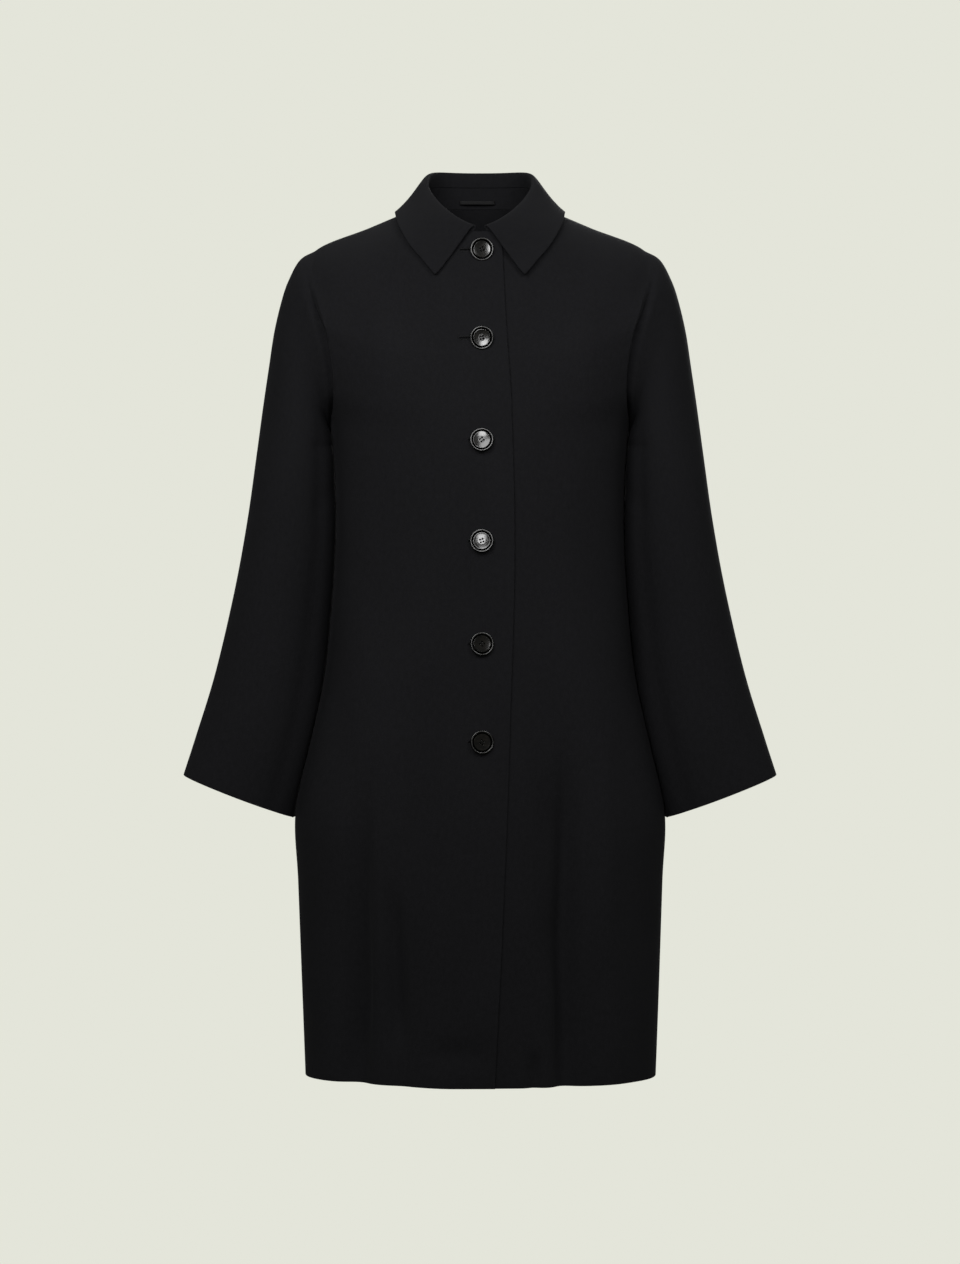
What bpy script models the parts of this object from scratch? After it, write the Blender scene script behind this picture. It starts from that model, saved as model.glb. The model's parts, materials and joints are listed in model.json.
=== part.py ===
"""Boxy single-breasted coat, filled out as worn and hollow.

Metres, +Z up, -Y is the front and +X is the wearer's left. The origin lies between the
shoulders, level with the sides of the neck. A bearing is an angle round the body: 0 is the centre
front, +90 degrees the wearer's left side, 180 degrees the centre back.
"""

import math
from collections import namedtuple

import bmesh
import bpy
import numpy as np
from mathutils import Matrix, Vector

# Cloth and seams
WALL = 0.002             # thickness of the coat cloth
SEAM = 0.0003            # gap between two pieces at a seam
LAP_GAP = 0.0008         # gap between the two fronts where they lap
NECK_GAP = 0.0005        # gap between the neck edge and the collar stand
COLLAR_GAP = 0.0005      # gap between the collar stand and the fall

# Front closure
BUTTON_LINE = 0.002      # where the buttons sit, just to the wearer's left of the middle
UNDER_LAP = 0.024        # how far the left front passes the button line, underneath
LAP_MARGIN = 0.006       # how far past the right front's edge the left front stays sunk
LAP_EASE = 0.060         # width in which it then comes back out to the body's surface
CORNER_RADIUS = 0.011    # rounded top corner of the right front

# Body
RING_DIP = 1.35          # how early a ring leaves its height at the side for that at front or back

# Armholes
ARM_TOP_ROW = 2.0        # row of BODY_RINGS at the shoulder point
ARM_BOTTOM_ROW = 6.0     # row of BODY_RINGS at the underarm
ARM_FRONT_ANGLE = math.radians(22.0)
ARM_BACK_ANGLE = math.radians(20.0)
ARM_ROLL = 0.022         # how far a front comes forward where it rolls over the sleeve seam
ARM_ROLL_WIDTH = 0.040   # how soon the front comes back to the body's ring, away from the seam
ARM_ROLL_START = 1.6     # rows below the shoulder point in which the roll grows
ARM_ROLL_END = 0.9       # rows above the underarm in which it fades
SLEEVE_GAP = 0.0015      # between a sleeve and the side of the body

# Collar
STAND_SHARE = 0.60       # height of the stand as a share of the way from neck edge to roll
LEAF_LIFT = 0.0045       # how far the leaf's edge stands off the cloth below it
LEAF_SAG = 0.0025        # hollow of the leaf between roll and edge
RISE_PULL = 0.6          # how straight the fall leaves the stand, as a share of its rise
ROLL_PULL = 0.6          # how tight the roll is on its inside, in roll radii
LEAF_START_PULL = 1.3    # how flat the leaf leaves the roll, in roll radii
LEAF_END_PULL = 0.45     # how straight it comes to its edge, as a share of its length
STAND_SHARES = (0.0, 0.5, 1.0)
INSIDE_SHARES = (0.0, 0.45, 0.75)
LEAF_SHARES = (0.0, 0.12, 0.3, 0.55, 0.8, 1.0)

# Hanger loop
LOOP_LENGTH = 0.040
LOOP_WIDTH = 0.0042
LOOP_THICKNESS = 0.0012
LOOP_HEIGHT = 0.0190     # height of its middle above the origin
LOOP_MIDDLE = -0.003     # it sits a little to the wearer's right
LOOP_BOW = 0.0030        # how far its middle stands off the collar stand
LOOP_GAP = 0.0006        # gap between its ends and the stand

# Buttons
BUTTON_RADIUS = 0.0125
BUTTON_HEIGHT = 0.0036
HOLE_RADIUS = 0.00085
HOLE_SPACING = 0.0027

# Fineness of the solids
LAP_COLUMNS = 15         # columns from a front's edge to its side
BACK_COLUMNS = 21
SHOULDER_STEPS = 5
ARM_STEPS = 12
SKIRT_STEPS = 11
SLEEVE_STEPS = 18
COLLAR_STATIONS = 37
LOOP_STEPS = 12
BUTTON_STEPS = 20
HOLE_SIDES = 6
WALK_STEPS = 80          # points used to measure along a ring
SOLVE_STEPS = 40         # halvings used to find a place on a curve
SMALL_STEP = 1e-3        # a small step, in rows or in radians
SAME_POINT = 1e-5        # corners closer than this are one
WALL_CREASE = math.radians(50.0)
BUTTON_CREASE = math.radians(40.0)

# Rings round the body: the square columns are the exponents of its squared ovals.
Ring = namedtuple(
    "Ring", "name side_z front_z back_z half_width front_depth back_depth front_square back_square"
)
BODY_RINGS = (
    Ring("neck edge", 0.0056, -0.030, 0.012, 0.070, 0.0940, 0.072, 1.8, 2.2),
    Ring("mid shoulder", -0.0160, -0.066, -0.030, 0.121, 0.1035, 0.092, 2.2, 2.2),
    Ring("shoulder point", -0.0410, -0.122, -0.092, 0.180, 0.1145, 0.106, 2.3, 2.3),
    Ring("armhole top", -0.0760, -0.155, -0.128, 0.191, 0.1195, 0.113, 2.3, 2.3),
    Ring("cross front", -0.1250, -0.186, -0.165, 0.180, 0.1230, 0.117, 2.3, 2.3),
    Ring("cross back", -0.1850, -0.217, -0.205, 0.168, 0.1250, 0.116, 2.3, 2.3),
    Ring("underarm", -0.2400, -0.252, -0.248, 0.1625, 0.1260, 0.113, 2.3, 2.3),
    Ring("ribs", -0.3050, -0.305, -0.305, 0.1575, 0.126, 0.109, 2.3, 2.3),
    Ring("waist", -0.3700, -0.370, -0.370, 0.1580, 0.125, 0.107, 2.3, 2.3),
    Ring("high hip", -0.4400, -0.440, -0.440, 0.1625, 0.126, 0.109, 2.25, 2.25),
    Ring("hip", -0.5100, -0.510, -0.510, 0.1705, 0.129, 0.114, 2.2, 2.2),
    Ring("seat", -0.5800, -0.580, -0.580, 0.1860, 0.131, 0.119, 2.15, 2.15),
    Ring("cuff level", -0.6550, -0.655, -0.655, 0.2020, 0.132, 0.123, 2.1, 2.1),
    Ring("thigh", -0.7300, -0.730, -0.730, 0.1995, 0.132, 0.125, 2.1, 2.1),
    Ring("skirt", -0.8350, -0.835, -0.835, 0.1960, 0.1315, 0.126, 2.05, 2.05),
    Ring("hem", -0.9420, -0.942, -0.942, 0.1920, 0.1312, 0.126, 2.05, 2.05),
)

# Largest folds of the skirt: depth is inwards, and a negative depth is a ridge.
Fold = namedtuple("Fold", "name bearing width depth start_z full_z")
FOLDS = (
    Fold("right front plane", -52.0, 24.0, 0.013, -0.560, -0.900),
    Fold("right front valley", -58.0, 7.5, 0.006, -0.680, -0.900),
    Fold("right front inner valley", -38.0, 6.5, 0.004, -0.760, -0.900),
    Fold("right front ridge", -16.0, 9.0, -0.003, -0.600, -0.760),
    Fold("left front valley", 40.0, 8.5, 0.007, -0.620, -0.880),
    Fold("left front ridge", 57.0, 9.0, -0.004, -0.640, -0.900),
    Fold("back left valley", 128.0, 9.0, 0.007, -0.600, -0.900),
    Fold("back middle ridge", 168.0, 12.0, -0.004, -0.560, -0.880),
    Fold("back right valley", -136.0, 10.0, 0.008, -0.570, -0.900),
)

# The right front's edge, from the collar to the hem.
Edge = namedtuple("Edge", "height reach")
FRONT_EDGE = (
    Edge(-0.030, 0.0235),
    Edge(-0.120, 0.0275),
    Edge(-0.210, 0.0335),
    Edge(-0.375, 0.0370),
    Edge(-0.570, 0.0318),
    Edge(-0.720, 0.0262),
    Edge(-0.942, 0.0160),
)

# Each sleeve section runs from an outer to an inner point; blend is its share over the armhole.
Sleeve = namedtuple("Sleeve", "name outer_x outer_z inner_x inner_z half_depth middle_y blend")
SLEEVE_RINGS = (
    Sleeve("armhole", 0.1800, -0.0410, 0.1625, -0.2397, 0.060, 0.000, 0.00),
    Sleeve("head low", 0.1969, -0.0510, 0.1638, -0.2400, 0.061, 0.000, 0.50),
    Sleeve("head", 0.2090, -0.0729, 0.1641, -0.2406, 0.062, 0.000, 0.80),
    Sleeve("head high", 0.2166, -0.0948, 0.1632, -0.2417, 0.063, 0.000, 0.95),
    Sleeve("upper arm", 0.2250, -0.1300, 0.1605, -0.2440, 0.064, 0.001, 1.00),
    Sleeve("arm", 0.2310, -0.1690, 0.1575, -0.2500, 0.065, 0.002, 1.00),
    Sleeve("biceps", 0.2376, -0.2130, 0.1550, -0.2640, 0.066, 0.004, 1.00),
    Sleeve("above elbow", 0.2450, -0.2665, 0.1540, -0.3000, 0.067, 0.006, 1.00),
    Sleeve("elbow", 0.2549, -0.3355, 0.1535, -0.3600, 0.067, 0.008, 1.00),
    Sleeve("forearm", 0.2690, -0.4120, 0.1590, -0.4350, 0.066, 0.010, 1.00),
    Sleeve("low forearm", 0.2900, -0.5020, 0.1690, -0.5330, 0.063, 0.010, 1.00),
    Sleeve("wrist", 0.3110, -0.5710, 0.1875, -0.6120, 0.060, 0.008, 1.00),
    Sleeve("cuff", 0.3249, -0.6145, 0.2020, -0.6610, 0.057, 0.006, 1.00),
)

# The collar's roll line, as a ring of its own.
ROLL_HALF_WIDTH = 0.0590
ROLL_FRONT_DEPTH = 0.0995
ROLL_BACK_DEPTH = 0.0690
ROLL_FRONT_SQUARE = 1.45
ROLL_BACK_SQUARE = 2.6
ROLL_SIDE_Z = 0.0330
ROLL_FRONT_Z = -0.0262
ROLL_BACK_Z = 0.0515

# Stations of the collar from its point to the centre back: edge_row is a row of BODY_RINGS, and
# roll_radius is half the thickness of the roll there.
Station = namedtuple("Station", "name roll_bearing edge_bearing edge_row roll_radius")
COLLAR = (
    Station("point", 4.0, 24.5, 1.30, 0.0030),
    Station("leaf", 19.0, 36.0, 0.98, 0.0034),
    Station("leaf side", 40.0, 52.5, 0.66, 0.0038),
    Station("shoulder front", 66.0, 71.0, 0.48, 0.0042),
    Station("shoulder", 90.0, 90.0, 0.42, 0.0045),
    Station("back of neck", 132.0, 132.0, 0.42, 0.0045),
    Station("centre back", 180.0, 180.0, 0.46, 0.0045),
)

# Turned profile of a button, from the middle of its back to the middle of its face, as shares of
# its radius and height.
Turn = namedtuple("Turn", "radius height")
BUTTON_PROFILE = (
    Turn(0.000, 0.00),
    Turn(0.760, 0.00),
    Turn(0.968, 0.33),
    Turn(1.000, 0.67),
    Turn(0.936, 1.00),
    Turn(0.864, 0.94),
    Turn(0.800, 0.75),
    Turn(0.736, 0.86),
    Turn(0.400, 0.64),
    Turn(0.000, 0.58),
)

Button = namedtuple("Button", "height turn")
BUTTONS = (
    Button(-0.0500, 24.0),
    Button(-0.1456, 8.0),
    Button(-0.2545, 35.0),
    Button(-0.3615, 18.0),
    Button(-0.4707, 50.0),
    Button(-0.5746, 62.0),
)

# Finish of each kind of piece
COAT_BLACK = (0.011, 0.011, 0.012)
LOOP_BLACK = (0.009, 0.009, 0.010)
BUTTON_BLACK = (0.008, 0.008, 0.007)
COAT_ROUGHNESS = 0.92
LOOP_ROUGHNESS = 0.6
BUTTON_ROUGHNESS = 0.16


def sizes(table):
    """The number columns of a table, one row for each of its rows."""
    return np.array([[value for value in row if not isinstance(value, str)] for row in table])


def cubic(values, place):
    """Read a column or several at any row number, on smooth cubics through the rows."""
    last = len(values) - 1
    start = int(min(max(math.floor(place), 0), last - 1))
    share = place - start
    before = values[start - 1] if start > 0 else 2 * values[0] - values[1]
    after = values[start + 2] if start + 2 <= last else 2 * values[last] - values[last - 1]
    here, there = values[start], values[start + 1]
    leave, arrive = (there - before) / 2, (after - here) / 2
    square, cube = share * share, share**3
    return (
        here * (2 * cube - 3 * square + 1)
        + leave * (cube - 2 * square + share)
        + there * (3 * square - 2 * cube)
        + arrive * (cube - square)
    )


def ease(value):
    """Rise smoothly from 0 to 1."""
    value = min(max(value, 0.0), 1.0)
    return value * value * (3 - 2 * value)


def unit(vector):
    """The vector at length 1, for one vector or a grid of them."""
    return vector / np.linalg.norm(vector, axis=-1, keepdims=True)


def solve(function, low, high):
    """The place between low and high where a rising function passes zero."""
    for _ in range(SOLVE_STEPS):
        middle = (low + high) / 2
        if function(middle) < 0:
            low = middle
        else:
            high = middle
    return (low + high) / 2


BODY_SIZES = sizes(BODY_RINGS)
SLEEVE_SIZES = sizes(SLEEVE_RINGS)
COLLAR_SIZES = sizes(COLLAR)
EDGE_SIZES = sizes(FRONT_EDGE)
HEM_ROW = len(BODY_RINGS) - 1


def ring_at(row):
    """The sizes of the body's ring at any row number of BODY_RINGS."""
    return Ring("", *cubic(BODY_SIZES, row))


def fold_depth(bearing, height):
    """How far the folds take the cloth inwards at a bearing and a height."""
    total = 0.0
    for fold in FOLDS:
        away = (math.degrees(bearing) - fold.bearing + 180.0) % 360.0 - 180.0
        grown = ease((fold.start_z - height) / (fold.start_z - fold.full_z))
        total += fold.depth * grown * math.exp(-((away / fold.width) ** 2))
    return total


def oval_reach(half_width, depth, square, bearing):
    """How far a squared oval reaches at a bearing."""
    across = abs(math.sin(bearing)) / half_width
    along = abs(math.cos(bearing)) / depth
    return (across**square + along**square) ** (-1.0 / square)


def arm_angle(row, widest):
    """Half the angle that an armhole takes out of a ring, on an egg-shaped curve."""
    middle = (ARM_TOP_ROW + ARM_BOTTOM_ROW) / 2
    share = (row - middle) / (ARM_BOTTOM_ROW - middle)
    return widest * math.sqrt(max(0.0, 1.0 - share * share))


def arm_roll(row, bearing, reach):
    """How far the front comes forward beside an armhole, at a distance from the body's middle."""
    edge = math.pi / 2 - arm_angle(row, ARM_FRONT_ANGLE)
    away = max(edge - abs(bearing), 0.0) * reach
    grown = ease((row - ARM_TOP_ROW) / ARM_ROLL_START) * ease((ARM_BOTTOM_ROW - row) / ARM_ROLL_END)
    return ARM_ROLL * grown * math.exp(-away / ARM_ROLL_WIDTH)


def body_point(row, bearing):
    """A point on the outer surface of the coat's body."""
    ring = ring_at(row)
    in_front = math.cos(bearing) > 0
    depth = ring.front_depth if in_front else ring.back_depth
    square = ring.front_square if in_front else ring.back_square
    end_z = ring.front_z if in_front else ring.back_z
    reach = oval_reach(ring.half_width, depth, square, bearing)
    drop = abs(reach * math.cos(bearing) / depth) ** RING_DIP
    height = ring.side_z + (end_z - ring.side_z) * drop
    forward = arm_roll(row, bearing, reach) if in_front else 0.0
    reach -= fold_depth(bearing, height)
    return np.array((reach * math.sin(bearing), -reach * math.cos(bearing) - forward, height))


def body_normal(row, bearing):
    """The outward direction of the coat's body at a row and a bearing."""
    step = SMALL_STEP
    up = body_point(max(row - step, 0.0), bearing) - body_point(min(row + step, HEM_ROW), bearing)
    round_body = body_point(row, bearing + step) - body_point(row, bearing - step)
    return unit(np.cross(round_body, up))


def bearing_at(row, reach):
    """The bearing on the front of a ring where x has a given value."""
    quarter = math.pi / 2 - SMALL_STEP
    return solve(lambda bearing: body_point(row, bearing)[0] - reach, -quarter, quarter)


def front_edge_reach(height):
    """Where the right front ends at a height, with its rounded top corner."""
    row = np.interp(-height, -EDGE_SIZES[:, 0], range(len(FRONT_EDGE)))
    reach = cubic(EDGE_SIZES[:, 1], row)
    below = min(max(BODY_RINGS[0].front_z - height, 0.0), CORNER_RADIUS)
    rise = CORNER_RADIUS - below
    return reach - CORNER_RADIUS + math.sqrt(CORNER_RADIUS**2 - rise**2)


def panel_rows():
    """Row numbers of the panels' grid lines, closest where the armhole turns."""
    shoulder = np.linspace(0.0, ARM_TOP_ROW, SHOULDER_STEPS + 1)
    middle = (ARM_TOP_ROW + ARM_BOTTOM_ROW) / 2
    turns = np.linspace(0.0, math.pi, ARM_STEPS + 1)
    armhole = middle - (ARM_BOTTOM_ROW - middle) * np.cos(turns)
    skirt = np.linspace(ARM_BOTTOM_ROW, HEM_ROW, SKIRT_STEPS + 1)
    return np.concatenate((shoulder[:-1], armhole, skirt[1:]))


def even_bearings(row, start, stop, count, trims):
    """Bearings at even distances along a ring, short of each end by its trim."""
    bearings = np.linspace(start, stop, WALK_STEPS)
    points = np.array([body_point(row, bearing) for bearing in bearings])
    steps = np.linalg.norm(np.diff(points, axis=0), axis=1)
    walked = np.concatenate(([0.0], np.cumsum(steps)))
    places = np.linspace(trims[0], walked[-1] - trims[1], count)
    return np.interp(places, walked, bearings)


def seam_trim(angle):
    """Half a seam's gap along the side and shoulder seams, and nothing along an armhole."""
    return SEAM / 2 if angle < SMALL_STEP else 0.0


def body_wall(bearings_by_row, sink):
    """Outer and inner grids of a panel, sunk below the body's surface by a function of x."""
    outer, inner = [], []
    for row, bearings in zip(panel_rows(), bearings_by_row):
        points = np.array([body_point(row, bearing) for bearing in bearings])
        normals = np.array([body_normal(row, bearing) for bearing in bearings])
        depths = np.array([sink(point) for point in points])[:, None]
        outer.append(points - normals * depths)
        inner.append(points - normals * (depths + WALL))
    return np.array(outer), np.array(inner)


def front_bearings(side, edge_reach):
    """Bearings of a front's grid, from its edge to the shoulder, armhole and side seam."""
    lines = []
    for row in panel_rows():
        angle = arm_angle(row, ARM_FRONT_ANGLE)
        start = bearing_at(row, edge_reach(ring_at(row).front_z))
        stop = side * (math.pi / 2 - angle)
        lines.append(even_bearings(row, start, stop, LAP_COLUMNS, (0.0, seam_trim(angle))))
    return lines


def back_bearings():
    """Bearings of the back's grid, from the wearer's left side round to the right."""
    lines = []
    for row in panel_rows():
        angle = arm_angle(row, ARM_BACK_ANGLE)
        start, stop = math.pi / 2 + angle, 3 * math.pi / 2 - angle
        trim = seam_trim(angle)
        lines.append(even_bearings(row, start, stop, BACK_COLUMNS, (trim, trim)))
    return lines


def lap_sink(point):
    """How far the left front lies below the body's surface, to pass under the right front."""
    past = point[0] - front_edge_reach(point[2] - CORNER_RADIUS)
    return (WALL + LAP_GAP) * (1.0 - ease((past - LAP_MARGIN) / LAP_EASE))


def armhole_ring(side):
    """Points round an armhole from the shoulder down the front and up the back, and their frames."""
    middle = (ARM_TOP_ROW + ARM_BOTTOM_ROW) / 2
    turns = np.linspace(0.0, 2 * math.pi, 2 * ARM_STEPS, endpoint=False)
    points, normals = [], []
    for turn in turns:
        row = middle - (ARM_BOTTOM_ROW - middle) * math.cos(turn)
        in_front = turn <= math.pi
        angle = arm_angle(row, ARM_FRONT_ANGLE if in_front else ARM_BACK_ANGLE)
        bearing = side * (math.pi / 2 + (-angle if in_front else angle))
        points.append(body_point(row, bearing))
        normals.append(body_normal(row, bearing))
    points, normals = np.array(points), np.array(normals)
    along = np.roll(points, -1, axis=0) - np.roll(points, 1, axis=0)
    inward = unit(np.cross(along, normals))
    towards_middle = points.mean(axis=0) - points
    turn_round = np.sign(np.sum(inward * towards_middle, axis=1, keepdims=True))
    return points, normals, inward * turn_round


def clear_of_body(point):
    """Move a point of a sleeve out to where it lies just clear of the body's side."""
    if point[2] > BODY_RINGS[int(ARM_BOTTOM_ROW)].side_z - SEAM:
        return point
    row = np.interp(-point[2], -BODY_SIZES[:, 0], range(len(BODY_RINGS)))
    ring = ring_at(row)
    depth = ring.front_depth if point[1] < 0 else ring.back_depth
    square = ring.front_square if point[1] < 0 else ring.back_square
    share = min(abs(point[1]) / depth, 1.0)
    side_x = ring.half_width * (1.0 - share**square) ** (1.0 / square)
    reach = max(abs(point[0]), side_x + SLEEVE_GAP)
    return np.array((math.copysign(reach, point[0]), point[1], point[2]))


def sleeve_grid(side):
    """Outer grid of a sleeve from the armhole seam to the cuff, and the armhole's normals."""
    seam_points, seam_normals, inward = armhole_ring(side)
    start = seam_points + inward * SEAM
    turns = np.linspace(0.0, 2 * math.pi, 2 * ARM_STEPS, endpoint=False)
    lines = [start]
    for row in np.linspace(0.0, len(SLEEVE_RINGS) - 1, SLEEVE_STEPS + 1)[1:]:
        ring = Sleeve("", *cubic(SLEEVE_SIZES, row))
        share = min(max(ring.blend, 0.0), 1.0)
        outer = np.array((side * ring.outer_x, ring.middle_y, ring.outer_z))
        inner = np.array((side * ring.inner_x, ring.middle_y, ring.inner_z))
        outer = start[0] + (outer - start[0]) / share
        inner = start[ARM_STEPS] + (inner - start[ARM_STEPS]) / share
        forward = np.array((0.0, -ring.half_depth, 0.0))
        middle, half = (outer + inner) / 2, (outer - inner) / 2
        oval = np.array([middle + half * math.cos(t) + forward * math.sin(t) for t in turns])
        line = start * (1 - share) + oval * share
        lines.append(np.array([clear_of_body(point) for point in line]))
    return np.array(lines), seam_normals, inward


def grid_normals(grid, closed):
    """Directions square to a grid of points, pointing as rows cross columns."""
    if closed:
        across = np.roll(grid, -1, axis=1) - np.roll(grid, 1, axis=1)
    else:
        across = np.gradient(grid, axis=1)
    return unit(np.cross(np.gradient(grid, axis=0), across))


def sleeve_wall(side):
    """Outer and inner grids of a sleeve; where it bends over its seam the walls stay parallel."""
    outer, seam_normals, inward = sleeve_grid(side)
    normals = grid_normals(outer, closed=True)
    from_axis = outer - outer.mean(axis=1, keepdims=True)
    normals *= np.sign(np.sum(normals * from_axis))
    ridge = np.sum(normals[0] * inward, axis=1) > 0
    normals[0][ridge] = seam_normals[ridge]
    return outer, outer - normals * WALL


def roll_point(bearing):
    """A point on the collar's roll line."""
    in_front = math.cos(bearing) > 0
    depth = ROLL_FRONT_DEPTH if in_front else ROLL_BACK_DEPTH
    square = ROLL_FRONT_SQUARE if in_front else ROLL_BACK_SQUARE
    reach = oval_reach(ROLL_HALF_WIDTH, depth, square, bearing)
    share = abs(reach * math.cos(bearing)) / depth
    if in_front:
        height = ROLL_SIDE_Z + (ROLL_FRONT_Z - ROLL_SIDE_Z) * share
    else:
        height = ROLL_SIDE_Z + (ROLL_BACK_Z - ROLL_SIDE_Z) * (1 - (1 - share) ** 2)
    return np.array((reach * math.sin(bearing), -reach * math.cos(bearing), height))


def collar_station(place):
    """Neck edge, stand top, roll and leaf edge at a place from -1, right point, to +1, left point."""
    row = (1.0 - abs(place)) * (len(COLLAR) - 1)
    station = Station("", *cubic(COLLAR_SIZES, row))
    side = math.copysign(1.0, place)
    roll_bearing = side * math.radians(station.roll_bearing)
    edge_bearing = side * math.radians(station.edge_bearing)
    neck = body_point(0.0, roll_bearing)
    roll = roll_point(roll_bearing)
    edge = body_point(station.edge_row, edge_bearing)
    edge = edge + body_normal(station.edge_row, edge_bearing) * LEAF_LIFT
    out = unit((edge - roll) * (1, 1, 0)) * station.roll_radius
    stand_line = roll - out - neck
    top = neck + stand_line * STAND_SHARE
    return neck + unit(stand_line) * NECK_GAP, top, roll, edge, out


def bezier(points, share):
    """A point on a cubic Bezier curve through its four control points."""
    rest = 1.0 - share
    weights = (rest**3, 3 * rest * rest * share, 3 * rest * share * share, share**3)
    return sum(weight * point for weight, point in zip(weights, points))


def collar_grids():
    """Middle surfaces of the collar stand and of the fall, column by column round the neck."""
    stand, fall = [], []
    for place in np.linspace(-1.0, 1.0, COLLAR_STATIONS):
        neck, top, roll, edge, out = collar_station(place)
        stand.append([neck + (top - neck) * share for share in STAND_SHARES])
        rise = roll - out - top
        start = top + unit(rise) * COLLAR_GAP
        inside = (start, start + rise * RISE_PULL, roll - out * ROLL_PULL, roll)
        before_edge = edge + (roll - edge) * LEAF_END_PULL - (0, 0, LEAF_SAG)
        leaf = (roll, roll + out * LEAF_START_PULL, before_edge, edge)
        line = [bezier(inside, share) for share in INSIDE_SHARES]
        line += [bezier(leaf, share) for share in LEAF_SHARES]
        fall.append(line)
    return np.array(stand), np.array(fall)


def thickened(middle, thickness):
    """Two grids half a thickness to each side of a middle surface."""
    normals = grid_normals(middle, closed=False)
    return middle + normals * thickness / 2, middle - normals * thickness / 2


def loop_wall():
    """Outer and inner grids of the hanger loop, bowed off the inside of the collar stand."""
    outer, inner = [], []
    for share in np.linspace(-1.0, 1.0, LOOP_STEPS + 1):
        x = LOOP_MIDDLE + share * LOOP_LENGTH / 2
        bearing = solve(lambda turn: x - body_point(0.0, turn)[0], math.pi / 2, 3 * math.pi / 2)
        neck = body_point(0.0, bearing)
        lean = roll_point(bearing) - neck - np.array((0.0, COLLAR[-1].roll_radius, 0.0))
        base = neck + lean * (LOOP_HEIGHT - neck[2]) / lean[2]
        inward = np.array((0.0, -1.0, 0.0))
        off = WALL / 2 + LOOP_GAP + LOOP_BOW * (1.0 - share**4)
        rows = [base + inward * off + unit(lean) * up * LOOP_WIDTH / 2 for up in (-1.0, 1.0)]
        outer.append(rows)
        inner.append([row + inward * LOOP_THICKNESS for row in rows])
    return np.array(outer), np.array(inner)


def finish(name, colour, roughness):
    """A plain Principled material."""
    material = bpy.data.materials.new(name)
    material.use_nodes = True
    shader = material.node_tree.nodes["Principled BSDF"]
    shader.inputs["Base Color"].default_value = (*colour, 1.0)
    shader.inputs["Roughness"].default_value = roughness
    shader.inputs["Metallic"].default_value = 0.0
    return material


def add_object(name, mesh, material, parent):
    """Put a mesh in the scene as one named piece of the coat."""
    mesh.materials.clear()
    mesh.materials.append(material)
    piece = bpy.data.objects.new(name, mesh)
    bpy.context.scene.collection.objects.link(piece)
    piece.parent = parent
    return piece


def wall_mesh(name, outer, inner, closed):
    """Join an outer and an inner grid into one closed wall; closed grids run round a tube."""
    rows, columns = outer.shape[:2]
    shift = rows * columns
    runs = columns if closed else columns - 1
    faces = []
    for row in range(rows - 1):
        for column in range(runs):
            beside = (column + 1) % columns
            quad = (row * columns + column, row * columns + beside,
                    (row + 1) * columns + beside, (row + 1) * columns + column)
            faces.append(quad)
            faces.append(tuple(corner + shift for corner in reversed(quad)))
    for row in (0, rows - 1):
        for column in range(runs):
            first = row * columns + column
            second = row * columns + (column + 1) % columns
            faces.append((first, second, second + shift, first + shift))
    if not closed:
        for column in (0, columns - 1):
            for row in range(rows - 1):
                first, second = row * columns + column, (row + 1) * columns + column
                faces.append((first, second, second + shift, first + shift))
    points = np.concatenate((outer.reshape(-1, 3), inner.reshape(-1, 3)))
    mesh = bpy.data.meshes.new(name)
    mesh.from_pydata(points.tolist(), [], faces)
    shape = bmesh.new()
    shape.from_mesh(mesh)
    bmesh.ops.recalc_face_normals(shape, faces=shape.faces)
    shape.to_mesh(mesh)
    shape.free()
    mesh.shade_smooth()
    mesh.set_sharp_from_angle(angle=WALL_CREASE)
    return mesh


def button_mesh():
    """A turned button with four holes, lying on its back on the XY plane."""
    shape = bmesh.new()
    profile = [
        shape.verts.new((turn.radius * BUTTON_RADIUS, 0.0, turn.height * BUTTON_HEIGHT))
        for turn in BUTTON_PROFILE
    ]
    edges = [shape.edges.new(pair) for pair in zip(profile, profile[1:])]
    bmesh.ops.spin(shape, geom=profile + edges, axis=(0, 0, 1), cent=(0, 0, 0), dvec=(0, 0, 0),
                   angle=2 * math.pi, steps=BUTTON_STEPS, use_merge=True)
    bmesh.ops.remove_doubles(shape, verts=shape.verts, dist=SAME_POINT)
    bmesh.ops.recalc_face_normals(shape, faces=shape.faces)
    solid = bpy.data.meshes.new("button_solid")
    shape.to_mesh(solid)
    shape.free()
    blank = bpy.data.objects.new("button_blank", solid)

    shape = bmesh.new()
    for across in (-0.5, 0.5):
        for along in (-0.5, 0.5):
            middle = (across * HOLE_SPACING, along * HOLE_SPACING, BUTTON_HEIGHT / 2)
            bmesh.ops.create_cone(shape, cap_ends=True, segments=HOLE_SIDES, radius1=HOLE_RADIUS,
                                  radius2=HOLE_RADIUS, depth=2 * BUTTON_HEIGHT,
                                  matrix=Matrix.Translation(middle))
    holes = bpy.data.meshes.new("button_holes")
    shape.to_mesh(holes)
    shape.free()
    cutter = bpy.data.objects.new("button_cutter", holes)

    for piece in (blank, cutter):
        bpy.context.scene.collection.objects.link(piece)
    drill = blank.modifiers.new("holes", "BOOLEAN")
    drill.operation = "DIFFERENCE"
    drill.object = cutter
    graph = bpy.context.evaluated_depsgraph_get()
    drilled = bpy.data.meshes.new_from_object(blank.evaluated_get(graph))
    for piece in (blank, cutter):
        bpy.data.objects.remove(piece)
    drilled.shade_smooth()
    drilled.set_sharp_from_angle(angle=BUTTON_CREASE)
    return drilled


def button_place(height):
    """Where a button sits on the right front, and the way it faces."""
    def row_reaches(row):
        return height - body_point(row, bearing_at(row, BUTTON_LINE))[2]

    row = solve(row_reaches, 0.0, HEM_ROW)
    bearing = bearing_at(row, BUTTON_LINE)
    return body_point(row, bearing), body_normal(row, bearing)


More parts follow.
